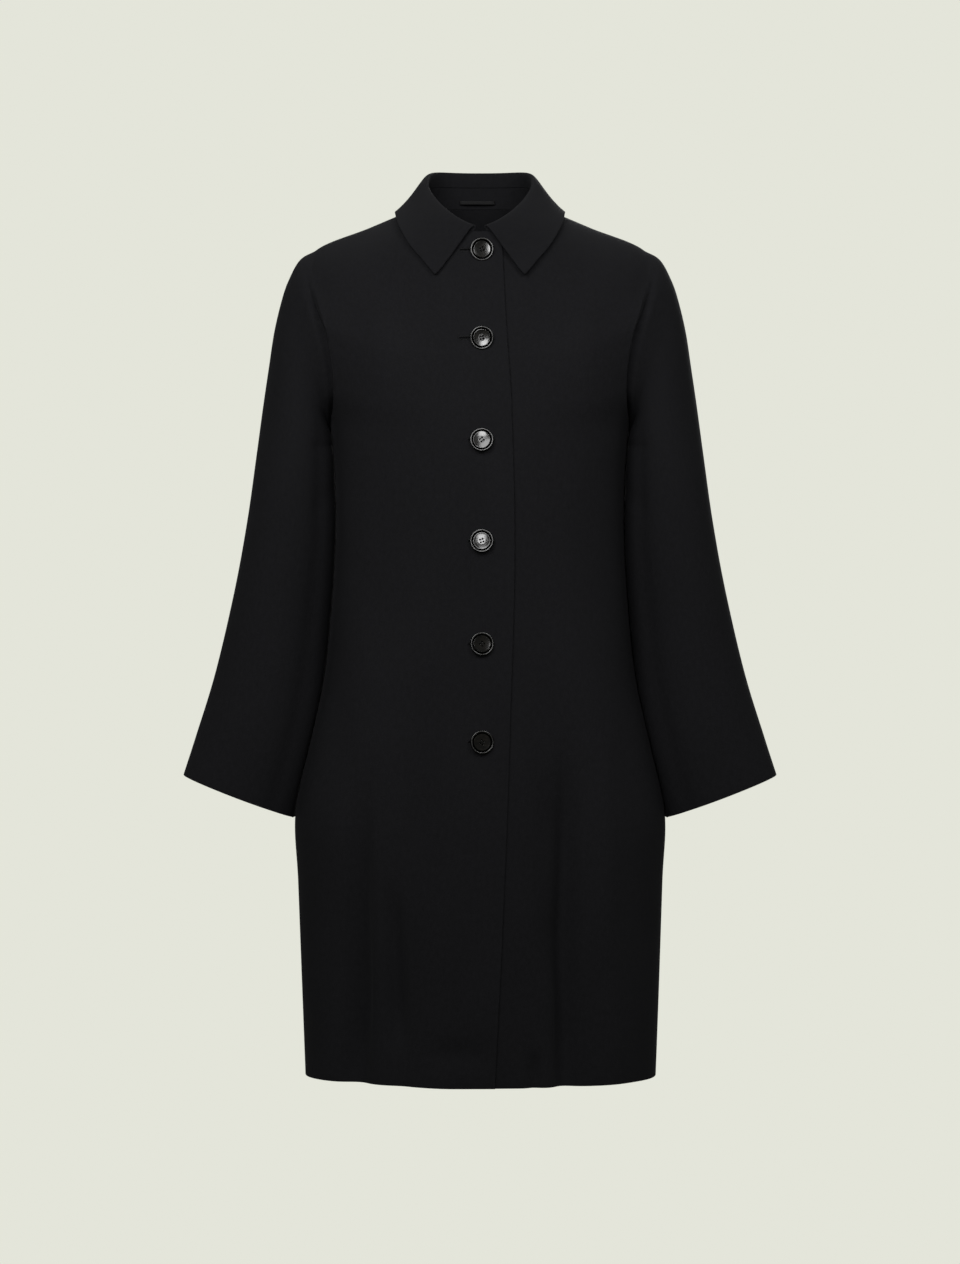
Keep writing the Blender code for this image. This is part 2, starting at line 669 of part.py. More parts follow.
def build_buttons(parent):
    """The six buttons down the front, each turned a little differently."""
    mesh = button_mesh()
    for number, button in enumerate(BUTTONS, start=1):
        name = f"button_{number}"
        material = finish(f"{name}_horn", BUTTON_BLACK, BUTTON_ROUGHNESS)
        piece = add_object(name, mesh.copy(), material, parent)
        point, facing = button_place(button.height)
        turn = Vector(facing).to_track_quat("Z", "Y").to_matrix().to_4x4()
        spin = Matrix.Rotation(math.radians(button.turn), 4, "Z")
        piece.matrix_world = Matrix.Translation(point + facing * SEAM) @ turn @ spin


def build_cloth(parent):
    """Fronts, back, sleeves, collar and loop."""
    right_front = body_wall(front_bearings(-1, front_edge_reach), lambda point: 0.0)
    left_front = body_wall(front_bearings(1, lambda height: BUTTON_LINE - UNDER_LAP), lap_sink)
    back = body_wall(back_bearings(), lambda point: 0.0)
    stand, fall = collar_grids()
    pieces = {
        "front_right": (right_front, False),
        "front_left": (left_front, False),
        "back": (back, False),
        "sleeve_right": (sleeve_wall(-1), True),
        "sleeve_left": (sleeve_wall(1), True),
        "collar_stand": (thickened(stand, WALL), False),
        "collar_fall": (thickened(fall, WALL), False),
    }
    for name, (grids, closed) in pieces.items():
        material = finish(f"{name}_cloth", COAT_BLACK, COAT_ROUGHNESS)
        add_object(name, wall_mesh(name, *grids, closed), material, parent)
    material = finish("hanger_loop_braid", LOOP_BLACK, LOOP_ROUGHNESS)
    add_object("hanger_loop", wall_mesh("hanger_loop", *loop_wall(), False), material, parent)


def main():
    """Build the coat from an empty scene."""
    for old in list(bpy.data.objects):
        bpy.data.objects.remove(old)
    coat = bpy.data.objects.new("coat", None)
    bpy.context.scene.collection.objects.link(coat)
    build_cloth(coat)
    build_buttons(coat)


main()
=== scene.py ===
"""Boxy black coat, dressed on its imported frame.

Each cloth piece is a thin shell on the form of its solid, with the soft creases of a pressed crepe
coat. Buttons, buttonholes, sewing thread and the hanger loop are modelled at their real size.

Metres, +Z up, -Y is the front and +X the wearer's left. A bearing is an angle round the body: 0 is
the centre front, +90 degrees the wearer's left side and 180 degrees the centre back.
"""

import json
import logging
import math
from collections.abc import Callable, Sequence
from dataclasses import astuple, dataclass, field
from enum import Enum

import bmesh
import bpy
import numpy as np
from mathutils import Matrix, Vector

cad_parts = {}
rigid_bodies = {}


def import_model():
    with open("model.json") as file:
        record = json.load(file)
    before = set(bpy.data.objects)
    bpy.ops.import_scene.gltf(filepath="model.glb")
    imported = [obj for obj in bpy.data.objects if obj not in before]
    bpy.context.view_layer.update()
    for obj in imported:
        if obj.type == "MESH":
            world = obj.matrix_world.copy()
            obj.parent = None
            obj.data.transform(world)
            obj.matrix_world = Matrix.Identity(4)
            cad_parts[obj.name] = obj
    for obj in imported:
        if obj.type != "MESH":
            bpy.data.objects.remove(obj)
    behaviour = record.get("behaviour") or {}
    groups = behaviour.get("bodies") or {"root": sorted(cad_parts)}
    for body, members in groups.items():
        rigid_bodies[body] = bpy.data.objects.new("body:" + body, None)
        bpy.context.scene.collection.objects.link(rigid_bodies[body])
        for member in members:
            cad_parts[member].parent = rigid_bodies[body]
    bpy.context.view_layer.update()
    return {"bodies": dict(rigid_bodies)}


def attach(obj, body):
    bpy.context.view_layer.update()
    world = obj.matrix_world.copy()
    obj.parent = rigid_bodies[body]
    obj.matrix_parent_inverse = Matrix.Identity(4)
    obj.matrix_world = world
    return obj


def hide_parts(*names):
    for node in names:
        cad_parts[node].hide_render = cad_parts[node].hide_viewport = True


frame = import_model()
BODY_NAME = next(iter(frame["bodies"]))
LOG = logging.getLogger("coat")
Array = np.ndarray
Piece = bpy.types.Object
Material = bpy.types.Material
Socket = bpy.types.NodeSocket
Triple = tuple[float, float, float]
Pair = tuple[float, float]

WALL = 0.002          # thickness of the coat cloth
SMALL_STEP = 1e-3     # a small step, in rows or in radians
TINY = 1e-9           # keeps a division from failing at zero
WELD = 2e-6           # corners closer than this are one
CREASE_FADE = 0.25    # share of its length by which a crease fades out on each side of its ends
NOISE_BAND = (0.3, 0.7)   # the range that most of a noise lies in


class Side(Enum):
    """The wearer's side."""

    RIGHT = -1
    LEFT = 1


class Slot(Enum):
    """The record's material slots."""

    CLOTH = "coat_cloth"
    BRAID = "loop_braid"
    HORN = "button_horn"


@dataclass(frozen=True)
class Ring:
    """A ring round the body; the square fields are the exponents of its squared ovals."""

    name: str
    side_z: float
    front_z: float
    back_z: float
    half_width: float
    front_depth: float
    back_depth: float
    front_square: float
    back_square: float


@dataclass(frozen=True)
class Fold:
    """A large fold of the skirt, in degrees and metres; a negative depth is a ridge."""

    name: str
    bearing: float
    width: float
    depth: float
    start_z: float
    full_z: float


@dataclass(frozen=True)
class Crease:
    """A soft trough between two places; a negative depth is a ridge.

    On the body a place is a bearing in degrees and a height, on a sleeve a turn in degrees from
    the outer side over the front and a share of the length.
    """

    name: str
    start: Pair
    end: Pair
    width: float
    depth: float


@dataclass(frozen=True)
class EdgePoint:
    """How far the right front reaches past the middle at a height."""

    height: float
    reach: float


@dataclass(frozen=True)
class SleeveRing:
    """A section of a sleeve from its outer to its inner point; blend is its share over the armhole."""

    name: str
    outer_x: float
    outer_z: float
    inner_x: float
    inner_z: float
    half_depth: float
    middle_y: float
    blend: float


@dataclass(frozen=True)
class CollarStation:
    """A place along the collar: its roll, and its leaf's edge on a row of the body's rings."""

    name: str
    roll_bearing: float
    edge_bearing: float
    edge_row: float
    roll_radius: float


@dataclass(frozen=True)
class ButtonPlace:
    """Where a button sits, its turn, its hole's shift beside it, and how it leans left and up."""

    height: float
    turn: float
    hole_shift: float
    lean_left: float
    lean_up: float


@dataclass(frozen=True)
class Cut:
    """The flat size that a piece of cloth was cut to, in metres and square metres."""

    width: float
    length: float
    area: float


BODY_RINGS = (
    Ring("neck edge", 0.0056, -0.030, 0.012, 0.070, 0.0940, 0.072, 1.8, 2.2),
    Ring("mid shoulder", -0.0160, -0.066, -0.030, 0.121, 0.1035, 0.092, 2.2, 2.2),
    Ring("shoulder point", -0.0410, -0.122, -0.092, 0.180, 0.1145, 0.106, 2.3, 2.3),
    Ring("armhole top", -0.0760, -0.155, -0.128, 0.191, 0.1195, 0.113, 2.3, 2.3),
    Ring("cross front", -0.1250, -0.186, -0.165, 0.180, 0.1230, 0.117, 2.3, 2.3),
    Ring("cross back", -0.1850, -0.217, -0.205, 0.168, 0.1250, 0.116, 2.3, 2.3),
    Ring("underarm", -0.2400, -0.252, -0.248, 0.1625, 0.1260, 0.113, 2.3, 2.3),
    Ring("ribs", -0.3050, -0.305, -0.305, 0.1575, 0.126, 0.109, 2.3, 2.3),
    Ring("waist", -0.3700, -0.370, -0.370, 0.1580, 0.125, 0.107, 2.3, 2.3),
    Ring("high hip", -0.4400, -0.440, -0.440, 0.1625, 0.126, 0.109, 2.25, 2.25),
    Ring("hip", -0.5100, -0.510, -0.510, 0.1705, 0.129, 0.114, 2.2, 2.2),
    Ring("seat", -0.5800, -0.580, -0.580, 0.1860, 0.131, 0.119, 2.15, 2.15),
    Ring("cuff level", -0.6550, -0.655, -0.655, 0.2020, 0.132, 0.123, 2.1, 2.1),
    Ring("thigh", -0.7300, -0.730, -0.730, 0.1995, 0.132, 0.125, 2.1, 2.1),
    Ring("skirt", -0.8350, -0.835, -0.835, 0.1960, 0.1315, 0.126, 2.05, 2.05),
    Ring("hem", -0.9420, -0.942, -0.942, 0.1920, 0.1312, 0.126, 2.05, 2.05),
)

FOLDS = (
    Fold("right front plane", -52.0, 24.0, 0.013, -0.560, -0.900),
    Fold("right front valley", -58.0, 7.5, 0.006, -0.680, -0.900),
    Fold("right front inner valley", -38.0, 6.5, 0.004, -0.760, -0.900),
    Fold("right front ridge", -16.0, 9.0, -0.003, -0.600, -0.760),
    Fold("left front valley", 40.0, 8.5, 0.007, -0.620, -0.880),
    Fold("left front ridge", 57.0, 9.0, -0.004, -0.640, -0.900),
    Fold("back left valley", 128.0, 9.0, 0.007, -0.600, -0.900),
    Fold("back middle ridge", 168.0, 12.0, -0.004, -0.560, -0.880),
    Fold("back right valley", -136.0, 10.0, 0.008, -0.570, -0.900),
)

BODY_CREASES = (
    Crease("right chest ease", (-30.0, -0.150), (-37.0, -0.300), 0.026, 0.0012),
    Crease("left chest ease", (34.0, -0.155), (38.0, -0.285), 0.024, 0.0010),
    Crease("right waist ease", (-46.0, -0.400), (-41.0, -0.560), 0.022, 0.0014),
    Crease("left waist ease", (28.0, -0.430), (37.0, -0.640), 0.020, 0.0013),
    Crease("right hip roll", (-70.0, -0.470), (-60.0, -0.640), 0.020, 0.0016),
    Crease("left hip roll", (72.0, -0.480), (64.0, -0.660), 0.021, 0.0016),
    Crease("right outer drape", (-51.0, -0.655), (-60.5, -0.950), 0.0120, 0.0130),
    Crease("right inner drape", (-39.0, -0.745), (-39.5, -0.885), 0.0090, 0.0082),
    Crease("left drape", (38.5, -0.615), (39.5, -0.950), 0.0105, 0.0135),
    Crease("left drape's soft flank", (32.0, -0.630), (32.5, -0.815), 0.0190, 0.0085),
    Crease("left hem dip", (25.0, -0.910), (25.0, -0.957), 0.0080, 0.0056),
    Crease("left side ridge", (52.5, -0.600), (53.0, -0.800), 0.0140, -0.0040),
    Crease("hem roll", (-21.0, -0.906), (2.0, -0.906), 0.0140, 0.0032),
    Crease("left hem swell", (72.0, -0.800), (76.0, -0.945), 0.022, -0.0016),
    Crease("back left blade", (152.0, -0.190), (160.0, -0.410), 0.024, 0.0022),
    Crease("back right blade", (-148.0, -0.180), (-158.0, -0.390), 0.026, 0.0024),
    Crease("back waist ease", (176.0, -0.380), (172.0, -0.560), 0.030, 0.0016),
    Crease("back left hip", (118.0, -0.420), (126.0, -0.600), 0.020, 0.0020),
    Crease("back right hip", (-112.0, -0.430), (-124.0, -0.590), 0.022, 0.0022),
    Crease("back left drape", (129.0, -0.640), (131.0, -0.945), 0.0090, 0.0070),
    Crease("back right drape", (-137.0, -0.670), (-136.0, -0.945), 0.0085, 0.0076),
    Crease("back hem dip", (-168.0, -0.850), (-166.0, -0.945), 0.0090, 0.0044),
    Crease("back left hem", (148.0, -0.800), (150.0, -0.945), 0.0140, 0.0032),
)

SLEEVE_CREASES = (
    Crease("front fold", (126.0, 0.42), (128.0, 1.04), 0.0110, 0.0026),
    Crease("front swell", (92.0, 0.50), (96.0, 1.02), 0.0200, -0.0010),
    Crease("elbow upper", (160.0, 0.47), (112.0, 0.53), 0.0080, 0.0014),
    Crease("elbow lower", (162.0, 0.58), (120.0, 0.63), 0.0075, 0.0012),
    Crease("seam dip", (52.0, 0.040), (158.0, 0.036), 0.0120, 0.0078),
    Crease("head ease", (62.0, 0.10), (70.0, 0.26), 0.0140, 0.0010),
    Crease("back fold", (232.0, 0.40), (236.0, 1.04), 0.0120, 0.0028),
    Crease("back elbow upper", (206.0, 0.45), (252.0, 0.52), 0.0090, 0.0022),
    Crease("back elbow lower", (204.0, 0.57), (246.0, 0.62), 0.0080, 0.0018),
    Crease("back head ease", (296.0, 0.12), (284.0, 0.28), 0.0140, 0.0014),
    Crease("outer roll", (338.0, 0.50), (342.0, 0.86), 0.0150, 0.0012),
)

FRONT_EDGE = (
    EdgePoint(-0.030, 0.0235),
    EdgePoint(-0.120, 0.0275),
    EdgePoint(-0.210, 0.0335),
    EdgePoint(-0.375, 0.0370),
    EdgePoint(-0.570, 0.0318),
    EdgePoint(-0.720, 0.0262),
    EdgePoint(-0.942, 0.0160),
)

SLEEVE_RINGS = (
    SleeveRing("armhole", 0.1800, -0.0410, 0.1625, -0.2397, 0.060, 0.000, 0.00),
    SleeveRing("head low", 0.1969, -0.0510, 0.1638, -0.2400, 0.061, 0.000, 0.50),
    SleeveRing("head", 0.2090, -0.0729, 0.1641, -0.2406, 0.062, 0.000, 0.80),
    SleeveRing("head high", 0.2166, -0.0948, 0.1632, -0.2417, 0.063, 0.000, 0.95),
    SleeveRing("upper arm", 0.2250, -0.1300, 0.1605, -0.2440, 0.064, 0.001, 1.00),
    SleeveRing("arm", 0.2310, -0.1690, 0.1575, -0.2500, 0.065, 0.002, 1.00),
    SleeveRing("biceps", 0.2376, -0.2130, 0.1550, -0.2640, 0.066, 0.004, 1.00),
    SleeveRing("above elbow", 0.2450, -0.2665, 0.1540, -0.3000, 0.067, 0.006, 1.00),
    SleeveRing("elbow", 0.2549, -0.3355, 0.1535, -0.3600, 0.067, 0.008, 1.00),
    SleeveRing("forearm", 0.2690, -0.4120, 0.1590, -0.4350, 0.066, 0.010, 1.00),
    SleeveRing("low forearm", 0.2900, -0.5020, 0.1690, -0.5330, 0.063, 0.010, 1.00),
    SleeveRing("wrist", 0.3110, -0.5710, 0.1875, -0.6120, 0.060, 0.008, 1.00),
    SleeveRing("cuff", 0.3249, -0.6145, 0.2020, -0.6610, 0.057, 0.006, 1.00),
)

COLLAR_STATIONS = (
    CollarStation("point", 4.0, 24.5, 1.30, 0.0030),
    CollarStation("leaf", 19.0, 36.0, 0.98, 0.0034),
    CollarStation("leaf side", 40.0, 52.5, 0.66, 0.0038),
    CollarStation("shoulder front", 66.0, 71.0, 0.48, 0.0042),
    CollarStation("shoulder", 90.0, 90.0, 0.42, 0.0045),
    CollarStation("back of neck", 132.0, 132.0, 0.42, 0.0045),
    CollarStation("centre back", 180.0, 180.0, 0.46, 0.0045),
)

BUTTON_PLACES = (
    ButtonPlace(-0.0500, 24.0, 0.0105, 0.055, 0.020),
    ButtonPlace(-0.1456, 8.0, 0.0108, -0.030, -0.030),
    ButtonPlace(-0.2545, 35.0, 0.0010, -0.050, 0.150),
    ButtonPlace(-0.3615, 18.0, 0.0008, -0.060, 0.120),
    ButtonPlace(-0.4707, 50.0, 0.0012, 0.100, 0.090),
    ButtonPlace(-0.5746, 62.0, 0.0010, 0.120, 0.020),
)


def table(rows: Sequence) -> Array:
    """The number columns of a table of dataclass rows, without their text fields."""
    return np.array([[v for v in astuple(row) if not isinstance(v, str)] for row in rows])


def cubic(values: Array, places: Array) -> Array:
    """Read a table at any row numbers, on smooth cubics through its rows.

    Args:
        values: The table, one row for each whole row number.
        places: Row numbers, of any shape.

    Returns:
        The columns of the table at each place, on a last axis.
    """
    places = np.asarray(places, float)
    first, last = 2 * values[:1] - values[1:2], 2 * values[-1:] - values[-2:-1]
    padded = np.concatenate((first, values, last))
    start = np.clip(np.floor(places).astype(int), 0, len(values) - 2)
    share = (places - start)[..., None]
    before, here, there, after = (padded[start + step] for step in range(4))
    leave, arrive = (there - before) / 2, (after - here) / 2
    square, cube = share**2, share**3
    return (
        here * (2 * cube - 3 * square + 1)
        + leave * (cube - 2 * square + share)
        + there * (3 * square - 2 * cube)
        + arrive * (cube - square)
    )


def wrapped(degrees: Array) -> Array:
    """Angles in degrees, brought between -180 and 180."""
    return (degrees + 180.0) % 360.0 - 180.0


def ease(values: Array) -> Array:
    """Rise smoothly from 0 to 1."""
    values = np.clip(values, 0.0, 1.0)
    return values * values * (3 - 2 * values)


def unit(vectors: Array) -> Array:
    """The vectors at length 1."""
    return vectors / np.linalg.norm(vectors, axis=-1, keepdims=True)


def oval_reach(bearings: Array, width: Array | float, depth: Array, square: Array) -> Array:
    """How far a squared oval reaches from its middle.

    Args:
        bearings: Bearings in radians.
        width: Half the oval's width.
        depth: Half its depth.
        square: Its exponent, 2 for a plain oval and more for a squarer one.

    Returns:
        The distance at each bearing.
    """
    across = (np.abs(np.sin(bearings)) / width) ** square
    along = (np.abs(np.cos(bearings)) / depth) ** square
    return (across + along) ** (-1.0 / square)


def halving(rising: Callable[[Array], Array], low: Array, high: Array, steps: int = 40) -> Array:
    """Find where a rising function passes zero, for many places at once.

    Args:
        rising: The function, which takes and gives arrays of one shape.
        low: Where the search starts.
        high: Where it ends.
        steps: How often the span is halved.

    Returns:
        The places where the function is zero.
    """
    low, high = np.array(low, float), np.array(high, float)
    for _ in range(steps):
        middle = (low + high) / 2
        below = rising(middle) < 0
        low, high = np.where(below, middle, low), np.where(below, high, middle)
    return (low + high) / 2


def crease_depth(creases: Sequence[Crease], across: Array, along: Array, scales: Pair) -> Array:
    """How far the creases take the cloth inwards.

    Args:
        creases: The troughs and ridges.
        across: Angles in degrees.
        along: Heights, or shares of a length.
        scales: Metres to a degree, and metres to one step along.

    Returns:
        The depth at each place, in metres.
    """
    total = np.zeros(np.broadcast(across, along).shape)
    for crease in creases:
        side = wrapped(across - crease.start[0]) * scales[0]
        down = (along - crease.start[1]) * scales[1]
        run = (crease.end[0] - crease.start[0]) * scales[0]
        fall = (crease.end[1] - crease.start[1]) * scales[1]
        length = math.hypot(run, fall)
        share = (side * run + down * fall) / length**2
        away = (side * fall - down * run) / length
        grown = ease((share + CREASE_FADE) / (2 * CREASE_FADE))
        grown = grown * ease((1.0 + CREASE_FADE - share) / (2 * CREASE_FADE))
        total += crease.depth * grown * np.exp(-((away / crease.width) ** 2))
    return total


@dataclass
class Armhole:
    """The egg-shaped opening between body and sleeve, as angles taken out of the body's rings.

    Beside it the front comes forward by roll, where it rolls over the sleeve seam.
    """

    top_row: float = 2.0
    bottom_row: float = 6.0
    front_angle: float = math.radians(22.0)
    back_angle: float = math.radians(20.0)
    steps: int = 40
    roll: float = 0.022
    roll_width: float = 0.040
    roll_start: float = 1.6
    roll_end: float = 0.9

    @property
    def middle_row(self) -> float:
        """The row number half way down."""
        return (self.top_row + self.bottom_row) / 2

    def angle(self, rows: Array, widest: float) -> Array:
        """Half the angle taken out of the rings at row numbers."""
        share = (rows - self.middle_row) / (self.bottom_row - self.middle_row)
        return widest * np.sqrt(np.maximum(0.0, 1.0 - share * share))

    def turn_rows(self, turns: Array) -> Array:
        """Row numbers at turns round the opening, from the shoulder point down and up again."""
        return self.middle_row - (self.bottom_row - self.middle_row) * np.cos(turns)

    def rows(self) -> Array:
        """Row numbers from the shoulder point to the underarm, closest at both ends."""
        return self.turn_rows(np.linspace(0.0, math.pi, self.steps + 1))

    def forward(self, rows: Array, bearings: Array, reach: Array) -> Array:
        """How far the front comes forward beside the opening.

        Args:
            rows: Row numbers of BODY_RINGS.
            bearings: Bearings in radians, of the same shape.
            reach: Distances from the body's middle.

        Returns:
            The distances.
        """
        edge = math.pi / 2 - self.angle(rows, self.front_angle)
        away = np.maximum(edge - np.abs(bearings), 0.0) * reach
        grown = ease((rows - self.top_row) / self.roll_start)
        grown = grown * ease((self.bottom_row - rows) / self.roll_end)
        return self.roll * grown * np.exp(-away / self.roll_width)


@dataclass
class BodyForm:
    """The surface that the fronts, the back and the buttons lie on."""

    armhole: Armhole = field(default_factory=Armhole)
    dip: float = 1.35
    degree: float = 0.0026
    sizes: Array = field(default_factory=lambda: table(BODY_RINGS))
    edge: Array = field(default_factory=lambda: table(FRONT_EDGE))
    corner_radius: float = 0.011
    button_line: float = 0.002

    @property
    def hem_row(self) -> int:
        """The row number of the hem."""
        return len(BODY_RINGS) - 1

    def fold_depth(self, bearings: Array, heights: Array) -> Array:
        """How far the large folds take the cloth inwards.

        Args:
            bearings: Bearings in radians.
            heights: Heights, of the same shape.

        Returns:
            The depth at each place, in metres.
        """
        total = np.zeros(np.broadcast(bearings, heights).shape)
        for fold in FOLDS:
            away = wrapped(np.degrees(bearings) - fold.bearing)
            grown = ease((fold.start_z - heights) / (fold.start_z - fold.full_z))
            total += fold.depth * grown * np.exp(-((away / fold.width) ** 2))
        return total

    def plain(self, rows: Array, bearings: Array) -> Array:
        """Points of the body with its large folds.

        Args:
            rows: Row numbers of BODY_RINGS.
            bearings: Bearings in radians, of the same shape.

        Returns:
            The points, on a last axis of three.
        """
        rows, bearings = np.broadcast_arrays(np.asarray(rows, float), bearings)
        side_z, front_z, back_z, width, front, back, front_square, back_square = np.moveaxis(
            cubic(self.sizes, rows), -1, 0)
        in_front = np.cos(bearings) > 0
        depth = np.where(in_front, front, back)
        square = np.where(in_front, front_square, back_square)
        reach = oval_reach(bearings, width, depth, square)
        drop = np.abs(reach * np.cos(bearings) / depth) ** self.dip
        heights = side_z + (np.where(in_front, front_z, back_z) - side_z) * drop
        forward = np.where(in_front, self.armhole.forward(rows, bearings, reach), 0.0)
        reach = reach - self.fold_depth(bearings, heights)
        return np.stack((reach * np.sin(bearings), -reach * np.cos(bearings) - forward, heights),
                        axis=-1)

    def normals(self, rows: Array, bearings: Array) -> Array:
        """Outward directions of the body.

        Args:
            rows: Row numbers of BODY_RINGS.
            bearings: Bearings in radians, of the same shape.

        Returns:
            The directions, at length 1.
        """
        above, below = np.maximum(rows - SMALL_STEP, 0.0), np.minimum(rows + SMALL_STEP, self.hem_row)
        up = self.plain(above, bearings) - self.plain(below, bearings)
        turn = self.plain(rows, bearings + SMALL_STEP) - self.plain(rows, bearings - SMALL_STEP)
        return unit(np.cross(turn, up))

    def surface(self, rows: Array, bearings: Array) -> tuple[Array, Array]:
        """Points of the body with folds and creases, and the outward directions there.

        Args:
            rows: Row numbers of BODY_RINGS.
            bearings: Bearings in radians, of the same shape.

        Returns:
            The points and the directions.
        """
        points, outward = self.plain(rows, bearings), self.normals(rows, bearings)
        depth = crease_depth(BODY_CREASES, np.degrees(bearings), points[..., 2], (self.degree, 1.0))
        return points - outward * depth[..., None], outward

    def bearing_at(self, rows: Array, reach: Array) -> Array:
        """The bearings on the front where x has given values."""
        quarter = np.full(np.broadcast(rows, reach).shape, math.pi / 2 - SMALL_STEP)
        return halving(lambda b: self.plain(rows, b)[..., 0] - reach, -quarter, quarter)

    def on_front(self, x: Array, heights: Array) -> tuple[Array, Array]:
        """The place on the front at given x and height.

        Args:
            x: Distances to the wearer's left.
            heights: Heights, of the same shape.

        Returns:
            The points and the outward directions.
        """
        x, heights = np.broadcast_arrays(np.asarray(x, float), np.asarray(heights, float))

        def miss(rows: Array) -> Array:
            """How far the body at these rows lies below the heights."""
            return heights - self.plain(rows, self.bearing_at(rows, x))[..., 2]

        rows = halving(miss, np.zeros(x.shape), np.full(x.shape, float(self.hem_row)))
        return self.surface(rows, self.bearing_at(rows, x))

    def edge_reach(self, heights: Array) -> Array:
        """Where the right front ends, with its rounded top corner.

        Args:
            heights: Heights down the front.

        Returns:
            How far the front reaches past the middle at each height.
        """
        rows = np.interp(-np.asarray(heights), -self.edge[:, 0], np.arange(len(self.edge)))
        reach = cubic(self.edge[:, 1:], rows)[..., 0]
        below = np.clip(BODY_RINGS[0].front_z - heights, 0.0, self.corner_radius)
        rise = self.corner_radius - below
        return reach - self.corner_radius + np.sqrt(self.corner_radius**2 - rise**2)


def linked(name: str, data: bpy.types.ID) -> Piece:
    """Make an object and put it into the scene.

    Args:
        name: The object's name.
        data: Its mesh, light or camera.

    Returns:
        The object, at the origin.
    """
    piece = bpy.data.objects.new(name, data)
    bpy.context.scene.collection.objects.link(piece)
    return piece


def face_outwards(mesh: bpy.types.Mesh, weld: float | None = None) -> None:
    """Turn a mesh's faces outwards and shade it smooth.

    Args:
        mesh: The mesh, of one or more closed shells.
        weld: Corners closer than this are joined first, if given.
    """
    shape = bmesh.new()
    shape.from_mesh(mesh)
    if weld:
        bmesh.ops.remove_doubles(shape, verts=shape.verts, dist=weld)
    bmesh.ops.recalc_face_normals(shape, faces=shape.faces)
    if shape.calc_volume(signed=True) < 0:
        bmesh.ops.reverse_faces(shape, faces=shape.faces)
    shape.to_mesh(mesh)
    shape.free()
    mesh.shade_smooth()


@dataclass
class ClothShell:
    """A grid of cloth made into a thin closed shell with soft rounded free edges.

    The grids are rows by columns by three. distance is how far a point lies from the nearest free
    edge, and closed says that the columns run round a tube.
    """

    name: str
    points: Array
    outward: Array
    distance: Array
    weave: Array
    closed: bool = False
    sink: Array | float = 0.0
    wall: float = WALL
    sharp_angle: float = math.radians(55.0)

    def faces_of(self) -> tuple[Array, Array, Array]:
        """The shell's corners and faces.

        Returns:
            Corner points, the corners of each face, and the weave's place at each of these.
        """
        half = self.wall / 2
        near = half - np.clip(self.distance, 0.0, half)
        round_in = half - np.sqrt(np.maximum(half**2 - near**2, 0.0))
        depth = np.broadcast_to(self.sink, round_in.shape)
        outer = self.points - self.outward * (depth + round_in)[..., None]
        inner = self.points - self.outward * (depth + self.wall - round_in)[..., None]
        rows, columns = self.points.shape[:2]
        runs = columns if self.closed else columns - 1
        wide, shift = self.weave.shape[1], rows * columns
        row, column = (g.ravel() for g in np.mgrid[0:rows - 1, 0:runs])
        beside = (column + 1) % columns
        quads = np.stack((row * columns + column, row * columns + beside,
                          (row + 1) * columns + beside, (row + 1) * columns + column), axis=1)
        marks = np.stack((row * wide + column, row * wide + column + 1,
                          (row + 1) * wide + column + 1, (row + 1) * wide + column), axis=1)
        faces, places = [quads, quads[:, ::-1] + shift], [marks, marks[:, ::-1]]
        row, column = np.arange(rows - 1), np.arange(runs)
        edges = [(at * columns + column, at * columns + (column + 1) % columns,
                  at * wide + column, at * wide + column + 1) for at in (0, rows - 1)]
        if not self.closed:
            edges += [(row * columns + at, (row + 1) * columns + at,
                       row * wide + at, (row + 1) * wide + at) for at in (0, columns - 1)]
        for first, second, here, there in edges:
            faces.append(np.stack((first, second, second + shift, first + shift), axis=1))
            places.append(np.stack((here, there, there, here), axis=1))
        corners = np.concatenate((outer.reshape(-1, 3), inner.reshape(-1, 3)))
        return corners, np.concatenate(faces), np.concatenate(places)

    def build(self, material: Material) -> Piece:
        """Make the shell's object.

        Args:
            material: The cloth.

        Returns:
            The object, at the origin.
        """
        corners, faces, places = self.faces_of()
        mesh = bpy.data.meshes.new(self.name)
        mesh.from_pydata(corners.tolist(), [], faces.tolist())
        layer = mesh.uv_layers.new(name="weave")
        layer.data.foreach_set("uv", self.weave.reshape(-1, 2)[places.ravel()].ravel())
        face_outwards(mesh, WELD)
        mesh.set_sharp_from_angle(angle=self.sharp_angle)
        mesh.materials.append(material)
        return linked(self.name, mesh)


def edge_rows(count: int = 4, radius: float = WALL / 2) -> Array:
    """Distances from a free edge at which its rounding needs a line of the grid."""
    return radius * (1.0 - np.cos(np.linspace(0.0, math.pi / 2, count + 1)))


def walked(points: Array, axis: int) -> Array:
    """Distances walked along a grid of points.

    Args:
        points: Points, rows by columns by three.
        axis: 0 to walk down the columns, 1 to walk along the rows.

    Returns:
        The distance of each point from the start of its walk.
    """
    steps = np.linalg.norm(np.diff(points, axis=axis), axis=-1)
    start = np.zeros_like(np.take(steps, [0], axis=axis))
    return np.concatenate((start, np.cumsum(steps, axis=axis)), axis=axis)


def weave_of(points: Array) -> Array:
    """Places on the weave for a grid of points.

    Args:
        points: Points, rows by columns by three.

    Returns:
        Metres across and down the cloth, on a last axis of two.
    """
    u, v = walked(points, 1), walked(points, 0)
    middle = v[:, v.shape[1] // 2]
    return np.stack((u, np.broadcast_to(middle[:, None], u.shape)), axis=-1)


def place_piece(piece: Piece, node: str | None = None) -> Piece:
    """Tie a piece to the frame.

    Args:
        piece: The finished piece, at the origin.
        node: The solid that it stands for, if any.

    Returns:
        The piece.
    """
    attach(piece, BODY_NAME)
    if node:
        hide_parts(node)
    LOG.info("%s: %d faces", piece.name, len(piece.data.polygons))
    return piece


